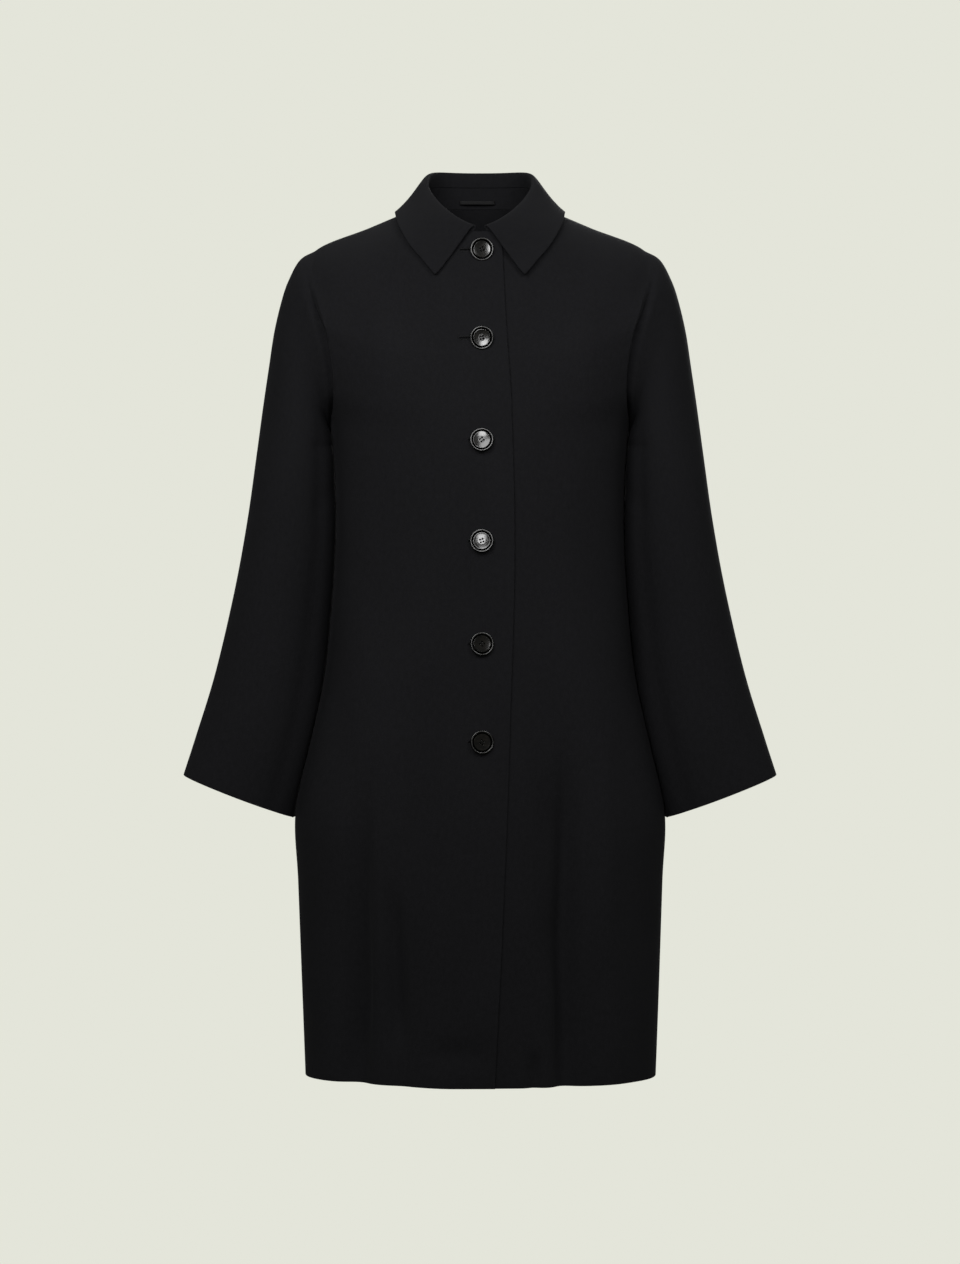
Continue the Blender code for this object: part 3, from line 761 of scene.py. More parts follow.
def sew(shells: dict[str, ClothShell], cloth: Material) -> dict[str, Piece]:
    """Make cloth pieces and tie them to the frame, each by the name of its solid."""
    return {node: place_piece(shell.build(cloth), node)
            for node, shell in shells.items()}


@dataclass
class BodyPanels:
    """The two fronts and the back."""

    body: BodyForm
    shoulder_steps: int = 22
    skirt_steps: int = 150
    front_columns: int = 58
    back_columns: int = 108
    walk_steps: int = 240
    under_lap: float = 0.024
    lap_gap: float = 0.0008
    lap_margin: float = 0.006
    lap_ease: float = 0.060
    front_cut: Cut = Cut(0.310, 0.960, 0.246)
    back_cut: Cut = Cut(0.560, 0.980, 0.440)

    @property
    def armhole(self) -> Armhole:
        """The opening that a sleeve is set into."""
        return self.body.armhole

    def rows(self) -> Array:
        """Row numbers of the panels' grid lines.

        Returns:
            The row numbers from the neck to the hem, with a few close ones at the hem.
        """
        shoulder = np.linspace(0.0, self.armhole.top_row, self.shoulder_steps + 1)
        hem = self.body.hem_row
        metres = BODY_RINGS[hem - 1].side_z - BODY_RINGS[hem].side_z
        turned = hem - edge_rows()[::-1] / metres
        skirt = np.linspace(self.armhole.bottom_row, turned[0], self.skirt_steps + 1)
        return np.concatenate((shoulder[:-1], self.armhole.rows(), skirt[1:], turned[1:]))

    def spread(self, start: Array, stop: Array, columns: int, free_start: bool) -> tuple[Array, Array]:
        """Bearings at even distances along each row.

        Args:
            start: The bearing at which each row starts.
            stop: The bearing at which it stops.
            columns: The number of even columns.
            free_start: Whether the start is a free edge, which gets a few close columns.

        Returns:
            Bearings and distances from the start, rows by columns.
        """
        rows = self.rows()
        shares = np.linspace(0.0, 1.0, self.walk_steps)
        fine = start[:, None] + (stop - start)[:, None] * shares
        along = walked(self.body.plain(rows[:, None], fine), 1)
        turned = edge_rows()[:-1] if free_start else np.empty(0)
        first = WALL / 2 if free_start else 0.0
        bearings, places = [], []
        for line, bearing in zip(along, fine):
            place = np.concatenate((turned, np.linspace(first, line[-1], columns)))
            places.append(place)
            bearings.append(np.interp(place, line, bearing))
        return np.array(bearings), np.array(places)

    def shell(self, name: str, bearings: Array, places: Array, free_start: bool,
              laps_under: bool = False) -> ClothShell:
        """One panel's shell.

        Args:
            name: The piece's name.
            bearings: Bearings, rows by columns.
            places: Distances from the first column.
            free_start: Whether the first column is a free edge.
            laps_under: Whether the panel passes under the right front.

        Returns:
            The shell.
        """
        points, outward = self.body.surface(self.rows()[:, None], bearings)
        to_hem = points[..., 2] - BODY_RINGS[-1].side_z
        distance = np.minimum(to_hem, places) if free_start else to_hem
        sink = self.lap_sink(points) if laps_under else 0.0
        return ClothShell(name, points, outward, distance, weave_of(points), sink=sink)

    def lap_sink(self, points: Array) -> Array:
        """How far the left front lies below the body's surface, to pass under the right front."""
        past = points[..., 0] - self.body.edge_reach(points[..., 2] - self.body.corner_radius)
        return (WALL + self.lap_gap) * (1.0 - ease((past - self.lap_margin) / self.lap_ease))

    def taken_out(self, rows: Array, widest: float) -> Array:
        """Half the angle that the armhole takes out of a panel, 0 above and below it."""
        return self.armhole.angle(np.clip(rows, self.armhole.top_row, self.armhole.bottom_row), widest)

    def front(self, side: Side) -> ClothShell:
        """One front, from its free edge to the shoulder, armhole and side seam.

        Args:
            side: The wearer's side.

        Returns:
            The shell.
        """
        rows = self.rows()
        angle = self.taken_out(rows, self.armhole.front_angle)
        if side is Side.RIGHT:
            reach = self.body.edge_reach(cubic(self.body.sizes, rows)[:, 1])
        else:
            reach = np.full(rows.shape, self.body.button_line - self.under_lap)
        start = self.body.bearing_at(rows, reach)
        stop = side.value * (math.pi / 2 - angle)
        bearings, places = self.spread(start, stop, self.front_columns, True)
        return self.shell(f"cloth_front_{side.name.lower()}", bearings, places, True,
                          side is Side.LEFT)

    def back(self) -> ClothShell:
        """The back, from the wearer's left side round to the right.

        Returns:
            The shell.
        """
        angle = self.taken_out(self.rows(), self.armhole.back_angle)
        bearings, places = self.spread(math.pi / 2 + angle, 3 * math.pi / 2 - angle,
                                       self.back_columns, False)
        return self.shell("cloth_back", bearings, places, False)

    def build(self, cloth: Material) -> dict[str, Piece]:
        """Make the three panels, by the name of their solid."""
        return sew({"front_right": self.front(Side.RIGHT), "front_left": self.front(Side.LEFT),
                    "back": self.back()}, cloth)


@dataclass
class SleevePair:
    """The two wide sleeves, each one tube from armhole to cuff."""

    body: BodyForm
    steps: int = 120
    side_gap: float = 0.0015
    radius: float = 0.064
    length: float = 0.60
    sizes: Array = field(default_factory=lambda: table(SLEEVE_RINGS))
    cut: Cut = Cut(0.440, 0.600, 0.192)

    def seam(self, side: Side) -> tuple[Array, Array, Array]:
        """The seam round the armhole, from the shoulder down the front and up the back.

        Args:
            side: The wearer's side.

        Returns:
            Points, outward directions, and directions from the seam into the opening.
        """
        armhole = self.body.armhole
        turns = np.linspace(0.0, 2 * math.pi, 2 * armhole.steps, endpoint=False)
        rows = armhole.turn_rows(turns)
        front, back = armhole.angle(rows, armhole.front_angle), armhole.angle(rows, armhole.back_angle)
        bearings = side.value * (math.pi / 2 + np.where(turns <= math.pi, -front, back))
        points, outward = self.body.surface(rows, bearings)
        along = np.roll(points, -1, axis=0) - np.roll(points, 1, axis=0)
        inward = unit(np.cross(along, outward))
        towards = np.sum(inward * (points.mean(axis=0) - points), axis=1, keepdims=True)
        return points, outward, inward * np.sign(towards)

    def clear_of_body(self, points: Array) -> Array:
        """Move points out to where they lie just clear of the body's side.

        Args:
            points: Points of a sleeve, on a last axis of three.

        Returns:
            The points, those above the underarm unmoved.
        """
        rows = np.interp(-points[..., 2], -self.body.sizes[:, 0], np.arange(len(BODY_RINGS)))
        width, front, back, front_square, back_square = np.moveaxis(
            cubic(self.body.sizes, rows), -1, 0)[3:]
        in_front = points[..., 1] < 0
        depth = np.where(in_front, front, back)
        square = np.where(in_front, front_square, back_square)
        share = np.minimum(np.abs(points[..., 1]) / depth, 1.0)
        side_x = width * (1.0 - share**square) ** (1.0 / square) + self.side_gap
        low = points[..., 2] <= BODY_RINGS[int(self.body.armhole.bottom_row)].side_z
        reach = np.where(low, np.maximum(np.abs(points[..., 0]), side_x), np.abs(points[..., 0]))
        return np.stack((np.copysign(reach, points[..., 0]), points[..., 1], points[..., 2]), axis=-1)

    def grid(self, side: Side) -> tuple[Array, Array, Array]:
        """The outer surface of a sleeve.

        Args:
            side: The wearer's side.

        Returns:
            Points and outward directions, rows down the sleeve by columns round it, and each
            row's share of the sleeve's length.
        """
        start, seam_outward, inward = self.seam(side)
        columns = len(start)
        turns = np.linspace(0.0, 2 * math.pi, columns, endpoint=False)
        last = len(SLEEVE_RINGS) - 1
        metres = SLEEVE_RINGS[-2].inner_z - SLEEVE_RINGS[-1].inner_z
        turned = last - edge_rows()[::-1] / metres
        rows = np.concatenate((np.linspace(0.0, turned[0], self.steps + 1), turned[1:]))
        lines = [start]
        for row in rows[1:]:
            outer_x, outer_z, inner_x, inner_z, half_depth, middle_y, blend = cubic(self.sizes, row)
            share = min(max(blend, 0.0), 1.0)
            outer = np.array((side.value * outer_x, middle_y, outer_z))
            inner = np.array((side.value * inner_x, middle_y, inner_z))
            outer = start[0] + (outer - start[0]) / share
            inner = start[columns // 2] + (inner - start[columns // 2]) / share
            forward = np.array((0.0, -half_depth, 0.0))
            oval = ((outer + inner) / 2 + (outer - inner) / 2 * np.cos(turns)[:, None]
                    + forward * np.sin(turns)[:, None])
            lines.append(self.clear_of_body(start * (1 - share) + oval * share))
        points = np.array(lines)
        around = np.roll(points, -1, axis=1) - np.roll(points, 1, axis=1)
        outward = unit(np.cross(np.gradient(points, axis=0), around))
        outward *= np.sign(np.sum(outward * (points - points.mean(axis=1, keepdims=True))))
        ridge = np.sum(outward[0] * inward, axis=1) > 0
        outward[0][ridge] = seam_outward[ridge]
        return points, outward, rows / last

    def shell(self, side: Side) -> ClothShell:
        """One sleeve with its creases.

        Args:
            side: The wearer's side.

        Returns:
            The shell.
        """
        points, outward, shares = self.grid(side)
        columns = points.shape[1]
        turns = np.linspace(0.0, 360.0, columns, endpoint=False)[None, :]
        degree = math.radians(1.0) * self.radius
        depth = crease_depth(SLEEVE_CREASES, turns, shares[:, None], (degree, self.length))
        points = self.clear_of_body(points - outward * depth[..., None])
        around = np.linspace(0.0, 2 * math.pi * self.radius, columns + 1)
        down = walked(points, 0)
        weave = np.stack(np.broadcast_arrays(around[None, :], down[:, :1]), axis=-1)
        distance = down[-1:] - down
        return ClothShell(f"cloth_sleeve_{side.name.lower()}", points, outward, distance, weave, True)

    def build(self, cloth: Material) -> dict[str, Piece]:
        """Make both sleeves, by the name of their solid."""
        return sew({f"sleeve_{side.name.lower()}": self.shell(side) for side in Side}, cloth)


@dataclass
class Collar:
    """The pointed collar: a stand round the neck, and a fall that rolls over it."""

    body: BodyForm
    half_width: float = 0.0590
    front_depth: float = 0.0995
    back_depth: float = 0.0690
    front_square: float = 1.45
    back_square: float = 2.6
    side_z: float = 0.0330
    front_z: float = -0.0262
    back_z: float = 0.0515
    stand_share: float = 0.60
    neck_gap: float = 0.0005
    fall_gap: float = 0.0005
    leaf_lift: float = 0.0045
    leaf_sag: float = 0.0025
    rise_pull: float = 0.6
    roll_pull: float = 0.6
    leaf_start_pull: float = 1.3
    leaf_end_pull: float = 0.45
    point_radius: float = 0.0022
    place_length: float = 0.165
    leaf_length: float = 0.085
    columns: int = 201
    end_crowding: float = 0.72
    stand_lines: int = 14
    inside_lines: int = 14
    inside_crowding: float = 1.5
    leaf_lines: int = 44
    leaf_crowding: float = 1.25
    sizes: Array = field(default_factory=lambda: table(COLLAR_STATIONS))
    stand_cut: Cut = Cut(0.420, 0.026, 0.0088)
    fall_cut: Cut = Cut(0.480, 0.095, 0.0340)

    def roll(self, bearings: Array) -> Array:
        """Points on the roll line.

        Args:
            bearings: Bearings in radians.

        Returns:
            The points, on a last axis of three.
        """
        in_front = np.cos(bearings) > 0
        depth = np.where(in_front, self.front_depth, self.back_depth)
        square = np.where(in_front, self.front_square, self.back_square)
        reach = oval_reach(bearings, self.half_width, depth, square)
        share = np.abs(reach * np.cos(bearings)) / depth
        front = self.side_z + (self.front_z - self.side_z) * share
        back = self.side_z + (self.back_z - self.side_z) * (1 - (1 - share) ** 2)
        heights = np.where(in_front, front, back)
        return np.stack((reach * np.sin(bearings), -reach * np.cos(bearings), heights), axis=-1)

    def station(self, places: Array) -> dict[str, Array]:
        """The lines that the collar hangs on.

        Args:
            places: Places from -1, the right point, to +1, the left point.

        Returns:
            Neck edge, top of the stand, roll, leaf edge and the roll's outward radius.
        """
        values = cubic(self.sizes, (1.0 - np.abs(places)) * (len(COLLAR_STATIONS) - 1))
        side = np.where(places < 0, -1.0, 1.0)
        roll_bearing, edge_bearing = (side * np.radians(values[..., k]) for k in (0, 1))
        edge_row, radius = values[..., 2], values[..., 3][..., None]
        neck, roll = self.body.plain(0.0, roll_bearing), self.roll(roll_bearing)
        edge = self.body.plain(edge_row, edge_bearing)
        edge = edge + self.body.normals(edge_row, edge_bearing) * self.leaf_lift
        out = unit((edge - roll) * (1.0, 1.0, 0.0)) * radius
        lean = roll - out - neck
        return {"neck": neck + unit(lean) * self.neck_gap, "top": neck + lean * self.stand_share,
                "roll": roll, "edge": edge, "out": out}

    def bezier(self, controls: Sequence[Array], shares: Array) -> Array:
        """Points on cubic Bezier curves.

        Args:
            controls: The four controls of each curve.
            shares: Shares of the way along the curves.

        Returns:
            The points, on a last axis of three.
        """
        t, rest = shares[..., None], 1.0 - shares[..., None]
        weights = (rest**3, 3 * rest**2 * t, 3 * rest * t**2, t**3)
        return sum(weight * point for weight, point in zip(weights, controls))

    def fall_points(self, places: Array, shares: Array) -> Array:
        """Points of the fall's middle surface.

        Args:
            places: Places along the collar.
            shares: Below 0 from the stand up to the roll, above 0 from the roll to the edge.

        Returns:
            The points.
        """
        at = self.station(places)
        rise = at["roll"] - at["out"] - at["top"]
        start = at["top"] + unit(rise) * self.fall_gap
        inside = (start, start + rise * self.rise_pull, at["roll"] - at["out"] * self.roll_pull,
                  at["roll"])
        edge, roll = at["edge"], at["roll"]
        before = edge + (roll - edge) * self.leaf_end_pull - np.array((0.0, 0.0, self.leaf_sag))
        leaf = (roll, roll + at["out"] * self.leaf_start_pull, before, edge)
        climbing = self.bezier(inside, np.clip(1.0 + shares, 0.0, 1.0))
        falling = self.bezier(leaf, np.clip(shares, 0.0, 1.0))
        return np.where((shares < 0)[..., None], climbing, falling)

    def place_grid(self) -> Array:
        """Places along the collar.

        Returns:
            The places from -1 to +1, closest at the collar's two free ends.
        """
        turned = edge_rows()[:-1] / self.place_length
        first = WALL / 2 / self.place_length
        shares = np.linspace(0.0, 1.0, self.columns)
        swing = np.sin((shares - 0.5) * math.pi * self.end_crowding)
        even = (1.0 - first) * swing / math.sin(self.end_crowding / 2 * math.pi)
        return np.concatenate((-1.0 + turned, even, 1.0 - turned[::-1]))

    def stand(self) -> ClothShell:
        """The stand, from the neck edge up.

        Returns:
            The shell.
        """
        places = self.place_grid()
        at = self.station(places)
        shares = np.linspace(0.0, 1.0, self.stand_lines)[:, None, None]
        middle = at["neck"] + (at["top"] - at["neck"]) * shares
        outward = unit(np.cross(np.gradient(middle, axis=0), np.gradient(middle, axis=1)))
        ends = np.broadcast_to((1.0 - np.abs(places)) * self.place_length, middle.shape[:2])
        points = middle + outward * WALL / 2
        return ClothShell("cloth_collar_stand", points, outward, ends, weave_of(points))

    def fall(self) -> ClothShell:
        """The fall, with its two points slightly rounded.

        Returns:
            The shell.
        """
        leaf = 1.0 - (edge_rows()[::-1] / self.leaf_length)
        inside = -np.linspace(1.0, 0.0, self.inside_lines)[:-1] ** self.inside_crowding
        outside = np.linspace(0.0, 1.0, self.leaf_lines)[:-1] ** self.leaf_crowding * leaf[0]
        shares = np.concatenate((inside, outside, leaf))
        places, shares = np.meshgrid(self.place_grid(), shares)
        plain = self.fall_points(places, shares)
        outward = unit(np.cross(np.gradient(plain, axis=0), np.gradient(plain, axis=1)))
        from_end = (1.0 - np.abs(places)) * self.place_length
        from_edge = (1.0 - shares) * self.leaf_length
        across = 1.0 - from_end / self.point_radius
        along = 1.0 - from_edge / self.point_radius
        corner = (across > 0) & (along > 0)
        slant = np.maximum(np.hypot(across, along), TINY)
        pull = np.where(corner, np.maximum(across, along) / slant, 1.0)
        end = np.where(corner, self.point_radius * (1.0 - across * pull), from_end)
        edge = np.where(corner, self.point_radius * (1.0 - along * pull), from_edge)
        middle = self.fall_points(np.sign(places) * (1.0 - end / self.place_length),
                                  1.0 - edge / self.leaf_length)
        free = np.minimum(from_end, np.where(shares < 0, self.leaf_length, from_edge))
        points = middle + outward * WALL / 2
        return ClothShell("cloth_collar_fall", points, outward, free, weave_of(plain))

    def build(self, cloth: Material) -> dict[str, Piece]:
        """Make the stand and the fall, by the name of their solid."""
        return sew({"collar_stand": self.stand(), "collar_fall": self.fall()}, cloth)


@dataclass
class HangerLoop:
    """The narrow loop of braid at the inside back neck."""

    body: BodyForm
    collar: Collar
    length: float = 0.040
    width: float = 0.0042
    thickness: float = 0.0012
    height: float = 0.0190
    middle: float = -0.003
    bow: float = 0.0030
    bow_power: int = 4
    gap: float = 0.0006
    steps: int = 60
    lines: int = 9

    def shell(self) -> ClothShell:
        """The loop, bowed off the inside of the collar stand.

        Returns:
            The shell.
        """
        share = np.linspace(-1.0, 1.0, self.steps + 1)
        x = self.middle + share * self.length / 2
        bearings = halving(lambda turn: x - self.body.plain(0.0, turn)[..., 0],
                           np.full(x.shape, math.pi / 2), np.full(x.shape, 3 * math.pi / 2))
        neck = self.body.plain(0.0, bearings)
        roll_in = np.array((0.0, COLLAR_STATIONS[-1].roll_radius, 0.0))
        lean = self.collar.roll(bearings) - neck - roll_in
        base = neck + lean * ((self.height - neck[:, 2]) / lean[:, 2])[:, None]
        off = WALL / 2 + self.gap + self.bow * (1.0 - share**self.bow_power)
        inward = np.array((0.0, -1.0, 0.0))
        line = base + inward * off[:, None]
        half = self.width / 2
        turned = edge_rows(4, self.thickness / 2)
        even = np.linspace(-half, half, self.lines)[2:-2]
        across = np.concatenate((-half + turned, even, half - turned[::-1]))
        points = line[None] + unit(lean)[None] * across[:, None, None]
        points = points + inward * self.thickness
        outward = np.broadcast_to(inward, points.shape)
        distance = np.broadcast_to((half - np.abs(across))[:, None], points.shape[:2])
        ends = (1.0 - np.abs(share)) * self.length / 2
        return ClothShell("loop_braid", points, outward, np.minimum(distance, ends[None]),
                          weave_of(points), wall=self.thickness)

    def build(self, braid: Material) -> Piece:
        """Make the loop."""
        return place_piece(self.shell().build(braid), "hanger_loop")


def only(*pieces: Piece) -> None:
    """Select some objects and no others.

    Args:
        pieces: The objects, if any; the first becomes the active one.
    """
    bpy.ops.object.select_all(action="DESELECT")
    for piece in pieces:
        piece.select_set(True)
    if pieces:
        bpy.context.view_layer.objects.active = pieces[0]


def settle(piece: Piece, name: str, place: Matrix, finishes: Sequence[Material]) -> Piece:
    """Copy a modelled piece to its place.

    Args:
        piece: The piece as modelled round the origin.
        name: The copy's name.
        place: Where the copy goes.
        finishes: Its finishes, in the order of its faces' numbers.

    Returns:
        The copy, at the origin with its place in its mesh.
    """
    mesh = piece.data.copy()
    mesh.name = name
    mesh.transform(place)
    for finish in finishes:
        mesh.materials.append(finish)
    return linked(name, mesh)


@dataclass
class ButtonRow:
    """The six polished four-hole buttons, and the thread that holds them.

    The profile runs from the back over the rim to the dish, in shares of radius and height. The
    finish changes at the shares of the radius in groove and rim_side, and not below back_height.
    The groove and the rim's outer side take a dull finish whose near-black colour and lack of shine
    are painted shade, for the shade in the hollow and on the side that turns away; only their
    roughness is the horn's own.
    """

    body: BodyForm
    radius: float = 0.0125
    height: float = 0.0036
    sides: int = 72
    hole_radius: float = 0.00098
    hole_spacing: float = 0.0031
    hole_sides: int = 20
    hole_bevel: float = 0.00016
    bevel_segments: int = 3
    bevel_angle: float = math.radians(60.0)
    smooth_angle: float = math.radians(38.0)
    flat_normal: float = 0.9999
    thread_radius: float = 0.00018
    thread_rounding: int = 2
    thread_spread: float = 0.96
    thread_foot: float = 0.0012
    thread_pull: Pair = (0.0003, 0.0019)
    stand_off: float = 0.0006
    groove: Pair = (0.700, 0.856)
    rim_side: float = 0.955
    back_height: float = 0.30
    profile: tuple[Pair, ...] = (
        (0.760, 0.00), (0.880, 0.08), (0.950, 0.22), (0.985, 0.42), (1.000, 0.62), (0.997, 0.78),
        (0.985, 0.91), (0.960, 0.98), (0.926, 1.00), (0.892, 0.99), (0.867, 0.95), (0.852, 0.86),
        (0.843, 0.70), (0.834, 0.54), (0.820, 0.44), (0.794, 0.42), (0.766, 0.48), (0.751, 0.62),
        (0.742, 0.75), (0.731, 0.825), (0.712, 0.850), (0.676, 0.836), (0.620, 0.814), (0.540, 0.794),
        (0.460, 0.775), (0.380, 0.759), (0.300, 0.746),
    )

    def turned(self) -> Piece:
        """A button turned from a disc, with its rim, groove, dish and four holes.

        Returns:
            The button on its back at the origin.
        """
        only()
        bpy.ops.mesh.primitive_circle_add(vertices=self.sides, radius=self.radius * self.profile[0][0],
                                          fill_type="NGON")
        blank = bpy.context.object
        bpy.ops.object.mode_set(mode="EDIT")
        bpy.ops.mesh.select_all(action="SELECT")
        for before, after in zip(self.profile, self.profile[1:]):
            lift = (0.0, 0.0, (after[1] - before[1]) * self.height)
            bpy.ops.mesh.extrude_region_move(TRANSFORM_OT_translate={"value": lift})
            grow = after[0] / before[0]
            bpy.ops.transform.resize(value=(grow, grow, 1.0))
        bpy.ops.mesh.select_all(action="SELECT")
        bpy.ops.mesh.normals_make_consistent(inside=False)
        bpy.ops.object.mode_set(mode="OBJECT")
        half, middle = self.hole_spacing / 2, self.profile[-1][1] * self.height / 2
        for across in (-half, half):
            for along in (-half, half):
                self.drill(blank, (across, along, middle))
        only(blank)
        bevel = blank.modifiers.new("hole edges", "BEVEL")
        bevel.width, bevel.segments = self.hole_bevel, self.bevel_segments
        bevel.limit_method, bevel.angle_limit = "ANGLE", self.bevel_angle
        bpy.ops.object.modifier_apply(modifier=bevel.name)
        bpy.ops.object.shade_smooth_by_angle(angle=self.smooth_angle)
        for face in blank.data.polygons:
            face.use_smooth = face.normal.z < self.flat_normal
            reach = math.hypot(face.center.x, face.center.y) / self.radius
            # Groove and rim's outer side take finish 1, whose near-black colour is painted shade; the
            # rim's top takes finish 2.
            if face.center.z > self.back_height * self.height:
                in_rim = self.groove[1] < reach < self.rim_side
                face.material_index = int(reach > self.groove[0]) + int(in_rim)
        return blank

    def drill(self, blank: Piece, place: Triple) -> None:
        """Cut one hole through the button.

        Args:
            blank: The button.
            place: The middle of the hole.
        """
        only()
        bpy.ops.mesh.primitive_cylinder_add(vertices=self.hole_sides, radius=self.hole_radius,
                                            depth=self.height * 2, location=place)
        cutter = bpy.context.object
        only(blank)
        hole = blank.modifiers.new("hole", "BOOLEAN")
        hole.operation, hole.solver, hole.object = "DIFFERENCE", "EXACT", cutter
        bpy.ops.object.modifier_apply(modifier=hole.name)
        bpy.data.objects.remove(cutter)

    def stitched(self) -> Piece:
        """The thread through a button's four holes, as modelled round the origin.

        Returns:
            Two pairs of strands, each from hole to hole.
        """
        dish = self.profile[-1][1] * self.height
        half, strands = self.hole_spacing / 2, []
        for along in (-half, half):
            for aside in (-self.thread_radius, self.thread_radius):
                only()
                bpy.ops.curve.primitive_bezier_curve_add()
                curve = bpy.context.object.data
                curve.bevel_depth, curve.bevel_resolution = self.thread_radius, self.thread_rounding
                curve.use_fill_caps = True
                for point, end in zip(curve.splines[0].bezier_points, (-1.0, 1.0)):
                    point.handle_left_type = point.handle_right_type = "FREE"
                    foot = Vector((end * half * self.thread_spread, along + aside,
                                   dish - self.thread_foot))
                    pull = foot + Vector((end * self.thread_pull[0], 0.0, self.thread_pull[1]))
                    point.co = foot
                    point.handle_left = pull if end > 0 else foot - (pull - foot)
                    point.handle_right = pull if end < 0 else foot - (pull - foot)
                bpy.ops.object.convert(target="MESH")
                strands.append(bpy.context.object)
        only(*strands)
        bpy.ops.object.join()
        bpy.ops.object.transform_apply(location=True, rotation=True, scale=True)
        bpy.ops.object.shade_smooth()
        return strands[0]

    def place(self, button: ButtonPlace) -> Matrix:
        """Where a button sits on the right front.

        Args:
            button: Its row of BUTTON_PLACES.

        Returns:
            The move and turn from the origin to there.
        """
        point, outward = self.body.on_front(self.body.button_line, button.height)
        lean = Vector((button.lean_left, -1.0, button.lean_up))
        facing = lean.to_track_quat("Z", "Y").to_matrix().to_4x4()
        spin = Matrix.Rotation(math.radians(button.turn), 4, "Z")
        return Matrix.Translation(point + outward * self.stand_off) @ facing @ spin

    def build(self, horn: Sequence[Material], thread: Material) -> None:
        """Make the six buttons and their thread.

        Args:
            horn: The finishes of a button's dish, groove and rim; the groove's near-black colour is
                painted shade.
            thread: The sewing thread.
        """
        button, sewing = self.turned(), self.stitched()
        for number, at in enumerate(BUTTON_PLACES, start=1):
            place = self.place(at)
            turned = settle(button, f"button_{number}_turned", place, horn)
            place_piece(turned, f"button_{number}")
            sewn = settle(sewing, f"button_{number}_thread", place, (thread,))
            place_piece(sewn)
        for model in (button, sewing):
            bpy.data.objects.remove(model)


